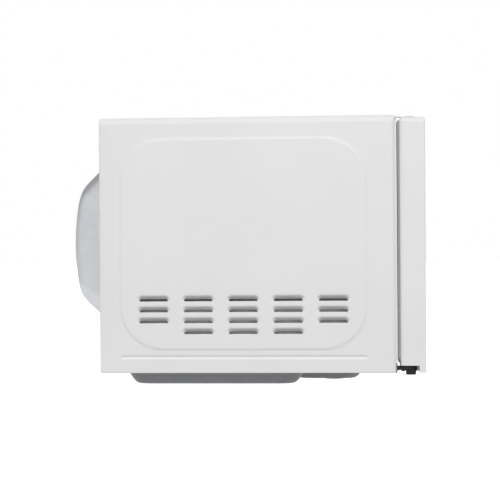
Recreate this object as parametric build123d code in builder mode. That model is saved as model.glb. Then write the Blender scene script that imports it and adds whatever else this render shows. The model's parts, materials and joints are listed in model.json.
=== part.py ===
"""A 20 litre countertop microwave oven, in millimetres.

+Z is up, the door faces -Y and +X is the user's right. The origin is on the worktop, under the centre
of the oven's bounding box. The door is on the left with its hinges at the left edge; the control panel
and the electrical bay are on the right.
"""

import math
import os

from build123d import *

os.makedirs("parts", exist_ok=True)

# ---------------------------------------------------------------- driving sizes: outside
width = 442.0  # over the raised fields of the two side panels
cabinet_height = 245.0
cabinet_depth = 285.0  # from the front rim to the rear flange
cabinet_corner = 6.5  # outer bend radius of the two top corners
rear_flange = 10.0
sheet = 0.8  # all steel sheet
foot_height = 1.5  # of each rubber foot below the wells
well_drop = 12.5  # how far the wells in the base hang below it
door_thickness = 24.6
door_gap = 2.4  # between the closed door and the cabinet
rim_step = 1.7  # the front plate stands this far in front of the wrapped sheet
door_top_step = 2.5  # the door ends this far below the top of the cabinet
door_overlap = 22.0  # of the door past the cavity's right wall
panel_gap = 1.2  # between the door and the control panel
bulge_depth = 34.5  # how far the rear bulge stands behind the rear flange
plastic = 2.5  # wall of the moulded door frame and control panel

# ---------------------------------------------------------------- driving sizes: side panels
field_height = 0.8  # how far the raised field stands out
field_slope = 3.0  # width of the sloping band round the field
field_corner = 42.0
field_bottom = 23.0  # from the cabinet's lower edge to the field
field_top = 20.5  # from the cabinet's top to the field
field_front = 26.5  # from the front rim to the field
field_rear = 20.0  # from the rear flange to the field
bead_height = 15.0  # of the stiffening bead above the lower edge
bead_width = 3.2
bead_depth = 0.5
louver_length = 29.0
louver_height = 6.0
louver_depth = 4.0
louver_pitch_y = 43.05
louver_pitch_z = 10.45
louver_rows = (3, 4, 4, 4, 3)
louver_top = 69.0  # from the lower edge to the slots of the top row

screw_head = 3.4  # of the countersunk screws that hold the wrapped sheet

# ---------------------------------------------------------------- driving sizes: cavity and bay
cavity_margin = 15.0  # between the left side panel and the cavity
bay_width = 128.0  # electrical bay, from the cavity to the right side panel
cavity_floor_rise = 16.0  # from the cabinet's lower edge to the cavity floor
cavity_head_room = 18.0  # above the cavity
cavity_rear_room = 11.0  # between the cavity's rear wall and the rear flange
bulge_air = 3.0  # between the cavity's bulge and the back panel's
lamp_setback = 54.6  # from the front plate to the middle of the lamp
duct_depth = 34.0
bulge_side_margin = 27.0  # from the left side panel to the back panel's bulge
bulge_height = 152.0
bulge_centre = 124.5  # above the cabinet's lower edge
bulge_slope = 51.0  # of the bulge's sides, from the flat of the panel
crown_radius = 210.0  # of the bulge's rear face, seen from the side
crown_round = 12.0  # where the rear face turns into the upper and lower slopes
bulge_round = 14.0  # along the other upper edges
facet_drop = 22.5  # of the flat facet across each lower corner, at the bulge's foot
facet_lean = 1.32  # how far the facet leans in for each millimetre of depth
mouth_corner = 8.0

# ---------------------------------------------------------------- driving sizes: turntable
tray_clearance = 9.0  # from the tray's edge to the nearest cavity wall
tray_glass = 4.5
tray_rim = 8.0
wheel_radius = 7.5
wheel_width = 5.0
track_inset = 30.0  # of the roller track inside the tray's edge
track_depth = 1.5
track_width = 14.0
roll_gap = 0.2  # running gap over and under a wheel
shaft_radius = 3.5
running_gap = 0.05
motor_radius = 24.0
motor_height = 14.0

# ---------------------------------------------------------------- driving sizes: door, latch, hinges
window_side = 35.0  # door frame beside the window on the hinge side
window_top = 33.0
window_bottom = 36.0
hinge_inset = 8.2  # hinge line inside the cabinet's side
hinge_setback = 14.6  # hinge line behind the door's front
pin_radius = 2.5
pin_length = 9.0
notch_length = 18.0  # of the door's lower corner cut out round the hinge, front to back
notch_height = 7.0
notch_width = 30.0
rear_edge_radius = 4.0  # on the door's hinge edge, so that it clears the front plate
land_reach = (9.4, 13.0)  # of the raised land on the door's back beyond the cavity: hinge side, top
hook_thickness = 5.0
hook_height = 10.0
hook_reach = 20.0  # behind the front plate
nose_drop = 3.2
nose_length = 7.0
latch_lift = 4.0
hook_low = 52.0  # lower hook above the cabinet's lower edge
hook_spacing = 138.0
slot_clearance = 1.2

# ---------------------------------------------------------------- driving sizes: controls
panel_air = 0.3  # round each key and button
key_width, key_height = 27.0, 13.0
start_width, start_height = 31.0, 19.0
key_pitch_x, key_pitch_z = 37.0, 21.0
key_travel = 1.0
key_rows_top = 68.0  # from the panel's top to the middle of the first row of keys
start_row = 30.0  # from the last row of keys to the start and stop keys
display_width, display_height = 72.0, 27.0
display_drop = 33.0  # from the panel's top to the middle of the display
button_width, button_height = 70.0, 28.0
button_rise = 26.0  # from the panel's bottom to the middle of the door button
button_travel = 6.0
lever_arm = 13.0
lever_shaft_radius = 3.0
push_radius = 2.0  # rounded end of the door button's push rod

# ---------------------------------------------------------------- driving sizes: bay equipment
core_x, core_y, core_z = 84.0, 62.0, 76.0
core_leg = 24.0
core_window = 13.0
coil_wall = 12.0
yoke_x, yoke_y, yoke_z = 62.0, 88.0, 78.0
waveguide_depth = 30.0
antenna_radius = 8.0
fan_radius = 44.0
fan_ring = 48.0
gland_radius = 3.8

# ---------------------------------------------------------------- places worked out from the sizes
base_z = foot_height + well_drop
top_z = base_z + cabinet_height
depth = door_thickness + door_gap + cabinet_depth + bulge_depth
front_y = -depth / 2
door_back_y = front_y + door_thickness
face_y = door_back_y + door_gap
rear_y = face_y + cabinet_depth
side_x = width / 2 - field_height
inner_x = side_x - sheet
plate_back_y = face_y + sheet
panel_front_y = rear_y - 2 * sheet  # front face of the back panel
inner_top_z = top_z - sheet

cavity_left = -side_x + cavity_margin
cavity_right = side_x - bay_width
cavity_floor_z = base_z + cavity_floor_rise
cavity_top_z = top_z - cavity_head_room
cavity_rear_y = rear_y - cavity_rear_room
cavity_width = cavity_right - cavity_left
cavity_height = cavity_top_z - cavity_floor_z
cavity_depth = cavity_rear_y - plate_back_y
cavity_mid_x = (cavity_left + cavity_right) / 2
cavity_mid_z = (cavity_floor_z + cavity_top_z) / 2
table_y = (plate_back_y + cavity_rear_y) / 2
tray_radius = min(cavity_width, cavity_depth) / 2 - tray_clearance
track_radius = tray_radius - track_inset

door_left = -width / 2
door_right = cavity_right + door_overlap
door_bottom = base_z
door_top = top_z - door_top_step
door_width = door_right - door_left
door_height = door_top - door_bottom
door_mid_x = (door_left + door_right) / 2
door_mid_z = (door_bottom + door_top) / 2
window_left = door_left + window_side
window_right = cavity_right - (window_left - cavity_left)
window_low = door_bottom + window_bottom
window_high = door_top - window_top
window_mid = ((window_left + window_right) / 2, (window_low + window_high) / 2)
window_size = (window_right - window_left, window_high - window_low)
hinge_x = -side_x + hinge_inset
hinge_y = front_y + hinge_setback

panel_left = door_right + panel_gap
panel_right = width / 2
panel_width = panel_right - panel_left
panel_mid_x = (panel_left + panel_right) / 2
panel_back_y = front_y + plastic  # rear face of the panel's front wall

bay_mid_x = (cavity_right + sheet + inner_x) / 2
hook_x = cavity_right + door_overlap / 2
hook_z = [base_z + hook_low, base_z + hook_low + hook_spacing]
hook_tip_y = plate_back_y + hook_reach


def save(piece, label):
    """Labels a finished piece and writes it to parts/label.step."""
    piece.part.label = label
    export_step(piece.part, f"parts/{label}.step")


def block(x0, x1, y0, y1, z0, z1, mode=Mode.ADD):
    """Adds a box given by its lowest and highest corners to the builder around it."""
    with Locations(((x0 + x1) / 2, (y0 + y1) / 2, (z0 + z1) / 2)):
        Box(x1 - x0, y1 - y0, z1 - z0, mode=mode)


def rod(centre, radius, length, axis="Z", mode=Mode.ADD):
    """Adds a cylinder about its centre, along X, Y or Z."""
    turn = {"X": (0, 90, 0), "Y": (90, 0, 0), "Z": (0, 0, 0)}[axis]
    with Locations(centre):
        Cylinder(radius, length, rotation=turn, mode=mode)


# ================================================================ steel casing
# The left side panel's louvers: each is a wedge pressed inwards and open along its lower edge.
louver_outline = [(0, louver_height), (louver_depth, 0), (0, 0)]
shell_outline = [
    (0, louver_height + sheet),
    (louver_depth + sheet, 0),
    (sheet / 2, 0),
    (0, sheet),
]
with BuildPart() as louver_shell:
    with BuildSketch(Plane.XZ.offset(-louver_length / 2 - sheet)):
        with BuildLine():
            Polyline(*shell_outline, close=True)
        make_face()
    extrude(amount=louver_length + 2 * sheet)
with BuildPart() as louver_pocket:
    with BuildSketch(Plane.XZ.offset(-louver_length / 2)):
        with BuildLine():
            Polyline(*louver_outline, close=True)
        make_face()
    extrude(amount=louver_length)

louver_mid_y = face_y + field_front + (cabinet_depth - field_front - field_rear) / 2
louver_places = [
    (louver_mid_y + (2 - column) * louver_pitch_y, base_z + louver_top - row * louver_pitch_z)
    for column, rows in enumerate(louver_rows)
    for row in range(rows)
]
outer_face_x = width / 2

with BuildPart() as cabinet:
    with BuildSketch(Plane.XZ.offset(-rear_y)) as outside:
        with Locations((0, base_z)):
            Rectangle(2 * side_x, cabinet_height, align=(Align.CENTER, Align.MIN))
        fillet(outside.vertices().group_by(Axis.Y)[-1], cabinet_corner)
    extrude(amount=cabinet_depth - rim_step)
    with BuildSketch(Plane.XZ.offset(-(rear_y - sheet))) as inside:
        with Locations((0, base_z)):
            Rectangle(2 * inner_x, cabinet_height - sheet, align=(Align.CENTER, Align.MIN))
        fillet(inside.vertices().group_by(Axis.Y)[-1], cabinet_corner - sheet)
    extrude(amount=cabinet_depth - sheet, mode=Mode.SUBTRACT)
    with BuildSketch(Plane.XZ.offset(-rear_y)):
        with Locations((0, base_z)):
            Rectangle(
                2 * (side_x - rear_flange),
                cabinet_height - rear_flange,
                align=(Align.CENTER, Align.MIN),
            )
    extrude(amount=sheet, mode=Mode.SUBTRACT)
    field_y = (face_y + field_front + rear_y - field_rear) / 2
    field_z = (base_z + field_bottom + top_z - field_top) / 2
    field_size = (cabinet_depth - field_front - field_rear, cabinet_height - field_bottom - field_top)
    field_taper = math.degrees(math.atan(field_slope / field_height))
    for side in (-1, 1):
        # Raised field: pushed out of the sheet, so it is a boss outside and a recess inside.
        normal = (side, 0, 0)
        outer = Plane(origin=(side * side_x, 0, 0), x_dir=(0, side, 0), z_dir=normal)
        inner = Plane(origin=(side * inner_x, 0, 0), x_dir=(0, side, 0), z_dir=normal)
        for plane, mode in ((outer, Mode.ADD), (inner, Mode.SUBTRACT)):
            with BuildSketch(plane):
                with Locations((side * field_y, field_z)):
                    RectangleRounded(*field_size, field_corner)
            extrude(amount=field_height, taper=field_taper, mode=mode)
        # Stiffening bead: a shallow groove along the lower edge.
        with BuildSketch(outer):
            with Locations((side * field_y, base_z + bead_height)):
                SlotOverall(field_size[0], bead_width)
        extrude(amount=-bead_depth, mode=Mode.SUBTRACT)
        turn = 0 if side < 0 else 180
        spots = [Location((side * outer_face_x, y, z), (0, 0, turn)) for y, z in louver_places]
        with Locations(*spots):
            add(louver_shell.part)
            add(louver_pocket.part, mode=Mode.SUBTRACT)
    screw_spots = [(x, z) for x in (-side_x + rear_flange / 2, side_x - rear_flange / 2)
                   for z in (base_z + 22, top_z - 40)] + [(0, top_z - rear_flange / 2)]
    for x, z in screw_spots:
        with Locations(Location((x, rear_y - sheet / 2, z), (90, 0, 0))):
            Cone(screw_head, screw_head - sheet, sheet, mode=Mode.SUBTRACT)
save(cabinet, "cabinet")

# The base: a flat sheet with one well, wide at the rear and narrow at the front, pressed down from it.
rear_well = (-side_x + 20, side_x - 20, face_y + 90, rear_y - 20.4)
front_well = (-side_x + 88, side_x - 88, face_y + 32, face_y + 110)
well_corner = 16.0
well_taper = 33.4

with BuildPart() as base_plate:
    block(-inner_x, inner_x, plate_back_y, panel_front_y, base_z, base_z + sheet)
    for side in (-1, 1):
        x0, x1 = sorted((side * inner_x, side * (inner_x - sheet)))
        block(x0, x1, plate_back_y, panel_front_y, base_z, base_z + 9)
    for x0, x1, y0, y1 in (rear_well, front_well):
        with BuildSketch(Plane.XY.offset(base_z)):
            with Locations(((x0 + x1) / 2, (y0 + y1) / 2)):
                RectangleRounded(x1 - x0, y1 - y0, well_corner)
        extrude(amount=-well_drop, taper=well_taper)
    for x0, x1, y0, y1 in (rear_well, front_well):
        with BuildSketch(Plane.XY.offset(base_z + sheet)):
            with Locations(((x0 + x1) / 2, (y0 + y1) / 2)):
                RectangleRounded(x1 - x0, y1 - y0, well_corner)
        extrude(amount=-well_drop, taper=well_taper, mode=Mode.SUBTRACT)
    foot_spots = [(side * x, y) for side in (-1, 1)
                  for x, y in ((rear_well[1] - 42, rear_well[3] - 36),
                               (front_well[1] - 34, front_well[2] + 32))]
    with Locations(*[(x, y, foot_height + sheet / 2) for x, y in foot_spots]):
        Cylinder(3, 3 * sheet, mode=Mode.SUBTRACT)
    vent_mid_x = bay_mid_x + 14
    with Locations((vent_mid_x, rear_well[2] + 52, foot_height + sheet / 2)):
        with GridLocations(10, 36, 7, 2):
            Box(4, 26, 3 * sheet, mode=Mode.SUBTRACT)
save(base_plate, "base_plate")

with BuildPart() as feet:
    with Locations(*[(x, y, foot_height / 2) for x, y in foot_spots]):
        Cylinder(10, foot_height)
    with Locations(*[(x, y, foot_height + sheet) for x, y in foot_spots]):
        Cylinder(2.9, 2 * sheet)
save(feet, "feet")

# The back panel, with the bulge that gives the turntable its room, a fan grille and an exhaust grille.
bulge_x = (-side_x + bulge_side_margin + cavity_right - (bulge_side_margin - cavity_margin)) / 2
bulge_width = 2 * (bulge_x + side_x - bulge_side_margin)
bulge_z = base_z + bulge_centre
bulge_skin = sheet / math.cos(math.radians(bulge_slope))  # depth between the skin's two faces
panel_back = rear_y - sheet
fan_x, fan_z = bay_mid_x + 3, base_z + 84
gland_x, gland_z = inner_x - 22, base_z + 24


def bulge_body(front, shift):
    """The solid filling the bulge from the plane y = front back, moved forward by shift."""
    foot = rear_y - shift
    tip = foot + bulge_depth
    lean = 1 / math.tan(math.radians(bulge_slope))
    half_height = bulge_height / 2 + (foot - front) * lean
    half_width = bulge_width / 2 + (foot - front) * lean
    run = (tip - front) * lean
    with BuildPart() as body:
        with BuildSketch(Plane.YZ.offset(bulge_x - half_width)) as profile:
            with BuildLine():
                Polyline(
                    (front, bulge_z - half_height),
                    (front, bulge_z + half_height),
                    (tip, bulge_z + half_height - run),
                    (tip, bulge_z - half_height + run),
                    close=True,
                )
            make_face()
            with Locations((tip - crown_radius, bulge_z)):
                Circle(crown_radius, mode=Mode.INTERSECT)
            fillet(profile.vertices().group_by(Axis.X)[-1], crown_round)
        extrude(amount=2 * half_width)
        with BuildSketch(Plane.XY.offset(bulge_z - half_height)):
            with BuildLine():
                Polyline(
                    (bulge_x - half_width, front),
                    (bulge_x + half_width, front),
                    (bulge_x + half_width - run, tip),
                    (bulge_x - half_width + run, tip),
                    close=True,
                )
            make_face()
        extrude(amount=2 * half_height, mode=Mode.INTERSECT)
        upper = body.edges().filter_by(lambda edge: (edge @ 0.5).Z > bulge_z - crown_round)
        fillet(upper.filter_by(lambda edge: abs((edge % 0.5).X) > 0.1 and (edge @ 0.5).Y > front + 1
                               and abs((edge % 0.5).X) < 0.99), bulge_round)
        for side in (-1, 1):
            corner = (bulge_x + side * bulge_width / 2, foot, bulge_z - bulge_height / 2 + facet_drop)
            across = Plane(origin=corner, x_dir=(1, 0, -side), z_dir=(side, facet_lean, -1))
            with Locations(across.location):
                Box(600, 600, 100, align=(Align.CENTER, Align.CENTER, Align.MIN), mode=Mode.SUBTRACT)
    return body.part


outer_bulge = bulge_body(panel_front_y, 0)
outer_hollow = bulge_body(panel_front_y - 1, bulge_skin)
with BuildPart() as back_panel:
    block(-inner_x, inner_x, panel_front_y, panel_back, base_z + sheet, inner_top_z - 1)
    fillet(back_panel.edges().filter_by(Axis.Y).group_by(Axis.Z)[-1], cabinet_corner)
    add(outer_bulge)
    add(outer_hollow, mode=Mode.SUBTRACT)
    with Locations((fan_x, panel_front_y + sheet / 2, fan_z)):
        with Locations(*[(13.0 * i, 0, 8.5 * k) for i in range(-3, 4) for k in range(-4, 5)
                         if math.hypot(13.0 * i, 8.5 * k) < fan_radius - 3]):
            Box(9, 3 * sheet, 4, mode=Mode.SUBTRACT)
    with Locations((bulge_x, panel_front_y + sheet / 2, bulge_z + bulge_height / 2 + 10)):
        with Locations(*[(22.0 * i, 0, 8.0 * k) for i in range(-4, 5) for k in (0, 1)]):
            Box(15, 3 * sheet, 3.5, mode=Mode.SUBTRACT)
    with Locations((gland_x, panel_front_y + sheet / 2, gland_z)):
        Box(15.4, 3 * sheet, 12.4, mode=Mode.SUBTRACT)
    for x, z in screw_spots:
        rod((x, panel_front_y + sheet / 2, z), 1.9, 2 * sheet, "Y", Mode.SUBTRACT)
save(back_panel, "back_panel")

with BuildPart() as cord_gland:
    gland_back = rear_y + 8
    block(gland_x - 7.5, gland_x + 7.5, panel_front_y - 6, gland_back, gland_z - 6, gland_z + 6)
    fillet(cord_gland.edges().filter_by(Axis.Y), 2)
    block(gland_x - 9.5, gland_x + 9.5, panel_back, panel_back + 3, gland_z - 8, gland_z + 8)
    rod((gland_x, (panel_front_y - 6 + gland_back) / 2, gland_z), gland_radius, 60, "Y", Mode.SUBTRACT)
save(cord_gland, "cord_gland")

with BuildPart() as cabinet_screws:
    for x, z in screw_spots:
        with Locations(Location((x, rear_y - sheet / 2, z), (90, 0, 0))):
            Cone(screw_head, screw_head - sheet, sheet)
        rod((x, rear_y - 4, z), 1.7, 7, "Y")
        rod((x, rear_y, z), 1.1, 0.8, "Y", Mode.SUBTRACT)
save(cabinet_screws, "cabinet_screws")

# ================================================================ cavity
slot_x0 = hook_x - hook_thickness / 2 - slot_clearance
slot_x1 = hook_x + hook_thickness / 2 + 2 * slot_clearance
slot_z = [(z - hook_height / 2 - nose_drop - slot_clearance,
           z + hook_height / 2 + latch_lift + slot_clearance) for z in hook_z]
window_back = (panel_left + 9, inner_x - 8, base_z + 10, top_z - 18)
rim_low, rim_high = base_z + 9.2, inner_top_z - 1
rim_return = 6.0  # depth of the flange that the wrapped sheet closes on
ear_slot_z = min(door_top, rim_high - sheet) - 0.3  # foot of the slot for the upper hinge
with BuildPart() as front_plate:
    block(-inner_x, inner_x, face_y, plate_back_y, base_z + sheet, inner_top_z - 1)
    fillet(front_plate.edges().filter_by(Axis.Y).group_by(Axis.Z)[-1], cabinet_corner)
    with BuildSketch(Plane.XZ.offset(-plate_back_y)):
        with Locations((cavity_mid_x, cavity_mid_z)):
            RectangleRounded(cavity_width, cavity_height, mouth_corner)
    extrude(amount=sheet, mode=Mode.SUBTRACT)
    with BuildSketch(Plane.XZ.offset(-plate_back_y)) as flange:
        with Locations((0, (rim_low + rim_high) / 2)):
            Rectangle(2 * inner_x, rim_high - rim_low)
        fillet(flange.vertices().group_by(Axis.Y)[-1], cabinet_corner)
        with Locations((0, rim_low)):
            Rectangle(2 * (inner_x - sheet), rim_high - rim_low - sheet,
                      align=(Align.CENTER, Align.MIN), mode=Mode.SUBTRACT)
    extrude(amount=-rim_return)
    for z0, z1 in slot_z:
        block(slot_x0, slot_x1, face_y - 1, plate_back_y + 1, z0, z1, Mode.SUBTRACT)
    block(window_back[0], window_back[1], face_y - 1, plate_back_y + 1, window_back[2], window_back[3],
          Mode.SUBTRACT)
    # Slots through which the hinge bars pass.
    block(-inner_x, cavity_left - sheet, face_y - 1, plate_back_y + 1, base_z, base_z + notch_height,
          Mode.SUBTRACT)
    block(-inner_x, cavity_left - sheet, face_y - 1, plate_back_y + rim_return + 1, ear_slot_z, top_z,
          Mode.SUBTRACT)
save(front_plate, "front_plate")

lamp_y, lamp_z = plate_back_y + lamp_setback, cavity_top_z - 40
lamp_flange = 19.0
duct_y0 = lamp_y + lamp_flange + 3.5
duct_y1 = duct_y0 + duct_depth
guide_y0 = duct_y1 + 7.5
guide_y1 = guide_y0 + 80
guide_z0, guide_z1 = cavity_top_z - 96, cavity_top_z - 12
port = (guide_y0 + 6, guide_y1 - 6, guide_z0 + 6, guide_z1 - 34)
with BuildPart() as cavity_walls:
    block(cavity_left - sheet, cavity_right + sheet, plate_back_y, cavity_rear_y,
          cavity_floor_z, cavity_top_z + sheet)
    fillet(cavity_walls.edges().filter_by(Axis.Y).group_by(Axis.Z)[-1], mouth_corner + sheet)
    with BuildSketch(Plane.XZ.offset(-cavity_rear_y)) as room:
        with Locations((cavity_mid_x, cavity_floor_z)):
            Rectangle(cavity_width, cavity_height, align=(Align.CENTER, Align.MIN))
        fillet(room.vertices().group_by(Axis.Y)[-1], mouth_corner)
    extrude(amount=cavity_depth, mode=Mode.SUBTRACT)
    block(cavity_right - 1, cavity_right + 2, *port, Mode.SUBTRACT)
    with Locations((cavity_right + sheet / 2, lamp_y, lamp_z)):
        with Locations(*[(0, 6 * i, 6 * k) for i in range(-2, 3) for k in range(-2, 3)]):
            Cylinder(1.6, 3 * sheet, rotation=(0, 90, 0), mode=Mode.SUBTRACT)
    with Locations((cavity_left - sheet / 2, cavity_rear_y - 60, cavity_top_z - 30)):
        with Locations(*[(0, 6 * i, 6 * k) for i in range(-5, 6) for k in range(-1, 2)]):
            Cylinder(1.6, 3 * sheet, rotation=(0, 90, 0), mode=Mode.SUBTRACT)
save(cavity_walls, "cavity_walls")

with BuildPart() as cavity_floor:
    block(cavity_left - sheet, cavity_right + sheet, plate_back_y, cavity_rear_y,
          cavity_floor_z - sheet, cavity_floor_z)
    track_mid = (cavity_mid_x, table_y, cavity_floor_z - sheet - track_depth / 2)
    rod(track_mid, track_radius + track_width / 2 + sheet, track_depth)
    rod(track_mid, track_radius - track_width / 2 - sheet, track_depth, mode=Mode.SUBTRACT)
    with BuildSketch(Plane.XY.offset(cavity_floor_z)):
        with Locations((cavity_mid_x, table_y)):
            Circle(track_radius + track_width / 2)
            Circle(track_radius - track_width / 2, mode=Mode.SUBTRACT)
    extrude(amount=-track_depth, mode=Mode.SUBTRACT)
    rod((cavity_mid_x, table_y, cavity_floor_z), 9, 4 * sheet, mode=Mode.SUBTRACT)
save(cavity_floor, "cavity_floor")

# The cavity's own bulge nests in the back panel's with bulge_air between them.
cavity_panel_back = cavity_rear_y + sheet
nest = bulge_skin + bulge_air / math.cos(math.radians(bulge_slope))
inner_bulge = bulge_body(cavity_rear_y, nest)
inner_hollow = bulge_body(cavity_rear_y - 1, nest + bulge_skin)
with BuildPart() as cavity_back:
    block(cavity_left - sheet, cavity_right + sheet, cavity_rear_y, cavity_panel_back,
          cavity_floor_z - sheet, cavity_top_z + sheet)
    fillet(cavity_back.edges().filter_by(Axis.Y).group_by(Axis.Z)[-1], mouth_corner + sheet)
    add(inner_bulge)
    add(inner_hollow, mode=Mode.SUBTRACT)
save(cavity_back, "cavity_back")

# ================================================================ microwave source
guide_x0 = cavity_right + sheet
guide_x1 = guide_x0 + waveguide_depth
tube_y, tube_z = (guide_y0 + guide_y1) / 2, guide_z1 - 42
with BuildPart() as waveguide:
    block(guide_x0, guide_x1, guide_y0, guide_y1, guide_z0, guide_z1)
    block(guide_x0 - 1, guide_x1 - 1, guide_y0 + 1, guide_y1 - 1, guide_z0 + 1, guide_z1 - 1, Mode.SUBTRACT)
    block(guide_x0, guide_x0 + 1, guide_y0 - 7, guide_y0, guide_z0, guide_z1)
    block(guide_x0, guide_x0 + 1, guide_y1, guide_y1 + 7, guide_z0, guide_z1)
    rod((guide_x1, tube_y, tube_z), antenna_radius + 2, 6, "X", Mode.SUBTRACT)
save(waveguide, "waveguide")

with BuildPart() as waveguide_cover:
    with BuildSketch(Plane.YZ.offset(cavity_right)):
        with Locations(((port[0] + port[1]) / 2, (port[2] + port[3]) / 2)):
            RectangleRounded(port[1] - port[0] + 14, port[3] - port[2] + 14, 6)
    extrude(amount=-0.8)
save(waveguide_cover, "waveguide_cover")

yoke_x0, yoke_x1 = guide_x1, guide_x1 + yoke_x
with BuildPart() as magnetron_yoke:
    block(yoke_x0, yoke_x1, tube_y - yoke_y / 2, tube_y + yoke_y / 2,
          tube_z - yoke_z / 2, tube_z + yoke_z / 2)
    block(yoke_x0 + 2, yoke_x1 - 2, tube_y - yoke_y, tube_y + yoke_y,
          tube_z - yoke_z / 2 + 2, tube_z + yoke_z / 2 - 2, Mode.SUBTRACT)
    rod((yoke_x0, tube_y, tube_z), antenna_radius + 2, 10, "X", Mode.SUBTRACT)
    rod((yoke_x1, tube_y, tube_z), antenna_radius + 2, 10, "X", Mode.SUBTRACT)
save(magnetron_yoke, "magnetron_yoke")

anode_radius = 19.0
fin_count = 9
with BuildPart() as magnetron_fins:
    fin_pitch = (yoke_x - 22) / (fin_count - 1)
    with Locations(*[(yoke_x0 + 11 + fin_pitch * i, tube_y, tube_z) for i in range(fin_count)]):
        Box(0.6, yoke_y - 6, yoke_z - 8)
    rod(((yoke_x0 + yoke_x1) / 2, tube_y, tube_z), anode_radius + 0.1, yoke_x, "X", Mode.SUBTRACT)
save(magnetron_fins, "magnetron_fins")

with BuildPart() as magnetron_tube:
    rod(((yoke_x0 + yoke_x1) / 2, tube_y, tube_z), anode_radius, yoke_x - 10, "X")
    rod((guide_x1 - 4, tube_y, tube_z), antenna_radius, 30, "X")
    fillet(magnetron_tube.faces().sort_by(Axis.X)[0].edges(), 5)
    rod((yoke_x1, tube_y, tube_z), antenna_radius, 16, "X")
save(magnetron_tube, "magnetron_tube")

with BuildPart() as magnetron_filter_box:
    box_end = min(yoke_x1 + 22, inner_x - 4)
    block(yoke_x1, box_end, tube_y - 30, tube_y + 30, tube_z - 26, tube_z + 26)
    block(yoke_x1 - 1, box_end - 1, tube_y - 29, tube_y + 29, tube_z - 25, tube_z + 25, Mode.SUBTRACT)
    fillet(magnetron_filter_box.edges().filter_by(Axis.X).group_by(SortBy.LENGTH)[-1], 0.9)
save(magnetron_filter_box, "magnetron_filter_box")

# ================================================================ power supply
well_floor_z = foot_height + sheet
core_foot = 4.0
well_slope = well_drop * math.tan(math.radians(well_taper))
core_mid = (
    rear_well[1] - well_slope - core_x / 2 - 10,
    rear_well[2] + well_slope + coil_wall + core_y / 2 + 3,
    well_floor_z + core_foot + core_z / 2,
)
with BuildPart() as transformer_core:
    with Locations(core_mid):
        Box(core_x, core_y, core_z)
        for side in (-1, 1):
            with Locations((side * (core_leg + core_window) / 2, 0, 0)):
                Box(core_window, core_y + 2, core_z - 2 * core_window, mode=Mode.SUBTRACT)
    with Locations((core_mid[0], core_mid[1], well_floor_z + core_foot / 2)):
        Box(core_x + 16, core_y - 12, core_foot)
save(transformer_core, "transformer_core")

with BuildPart() as transformer_coils:
    coil_height = (core_z - 2 * core_window - 6) / 2
    with Locations(*[(core_mid[0], core_mid[1], core_mid[2] + k * (coil_height / 2 + 1.5)) for k in (-1, 1)]):
        Box(core_leg + 2 * coil_wall, core_y + 2 * coil_wall, coil_height)
        Box(core_leg + 0.4, core_y + 0.4, coil_height, mode=Mode.SUBTRACT)
    fillet(transformer_coils.edges().filter_by(Axis.Z).group_by(Axis.Y)[0], 5)
    fillet(transformer_coils.edges().filter_by(Axis.Z).group_by(Axis.Y)[-1], 5)
save(transformer_coils, "transformer_coils")

can_mid = (bay_mid_x + 10, face_y + 44, base_z + sheet + 3)
with BuildPart() as capacitor:
    with BuildSketch(Plane.XY.offset(can_mid[2])):
        with Locations((can_mid[0], can_mid[1])):
            SlotOverall(48, 30)
    extrude(amount=52)
    with Locations(*[(can_mid[0] + dx, can_mid[1], can_mid[2] + 52 + 5) for dx in (-10, 10)]):
        Box(6.3, 0.8, 10)
save(capacitor, "capacitor")

with BuildPart() as capacitor_clamp:
    with BuildSketch(Plane.XY.offset(can_mid[2] + 18)):
        with Locations((can_mid[0], can_mid[1])):
            SlotOverall(50, 32)
            SlotOverall(48.1, 30.1, mode=Mode.SUBTRACT)
    extrude(amount=14)
    block(can_mid[0] - 6, can_mid[0] + 6, can_mid[1] + 16, can_mid[1] + 17, base_z + sheet, can_mid[2] + 32)
    block(can_mid[0] - 6, can_mid[0] + 6, can_mid[1] + 17, can_mid[1] + 27,
          base_z + sheet, base_z + sheet + 1)
save(capacitor_clamp, "capacitor_clamp")

with BuildPart() as high_voltage_diode:
    diode = (can_mid[0] + 36, can_mid[1] + 10, base_z + sheet + 14)
    rod(diode, 3.5, 24, "Z")
    rod((diode[0], diode[1], diode[2] - 12.5), 0.8, 3, "Z")
    rod((diode[0], diode[1], base_z + sheet + 0.5), 4.5, 1, "Z")
save(high_voltage_diode, "high_voltage_diode")

# ================================================================ cooling fan
shroud_y = panel_front_y - 3
with BuildPart() as fan_shroud:
    block(fan_x - 54, fan_x + 50, shroud_y, shroud_y + 2.5, fan_z - 52, fan_z + 52)
    rod((fan_x, shroud_y - 12, fan_z), fan_ring + 2, 26, "Y")
    rod((fan_x, shroud_y, fan_z), fan_ring, 80, "Y", Mode.SUBTRACT)
    for side in (-1, 1):
        x0, x1 = sorted((fan_x + side * (fan_ring + 0.5), fan_x + side * (fan_ring - 6)))
        block(x0, x1, shroud_y - 44, shroud_y - 25, fan_z - 5, fan_z + 5)
        x0, x1 = sorted((fan_x + side * (fan_ring - 3), fan_x + side * 20))
        block(x0, x1, shroud_y - 44, shroud_y - 41, fan_z - 5, fan_z + 5)
save(fan_shroud, "fan_shroud")

with BuildPart() as fan_motor:
    block(fan_x - 22, fan_x + 22, shroud_y - 41, shroud_y - 27, fan_z - 22, fan_z + 30)
    rod((fan_x, shroud_y - 34, fan_z), 14, 30, "Y")
    rod((fan_x, shroud_y - 34, fan_z), 2.55, 60, "Y", Mode.SUBTRACT)
    block(fan_x - 15, fan_x + 15, shroud_y - 46, shroud_y - 26, fan_z + 32, fan_z + 44)
    block(fan_x - 8, fan_x + 8, shroud_y - 41, shroud_y - 27, fan_z + 30, fan_z + 32)
save(fan_motor, "fan_motor")

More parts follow.
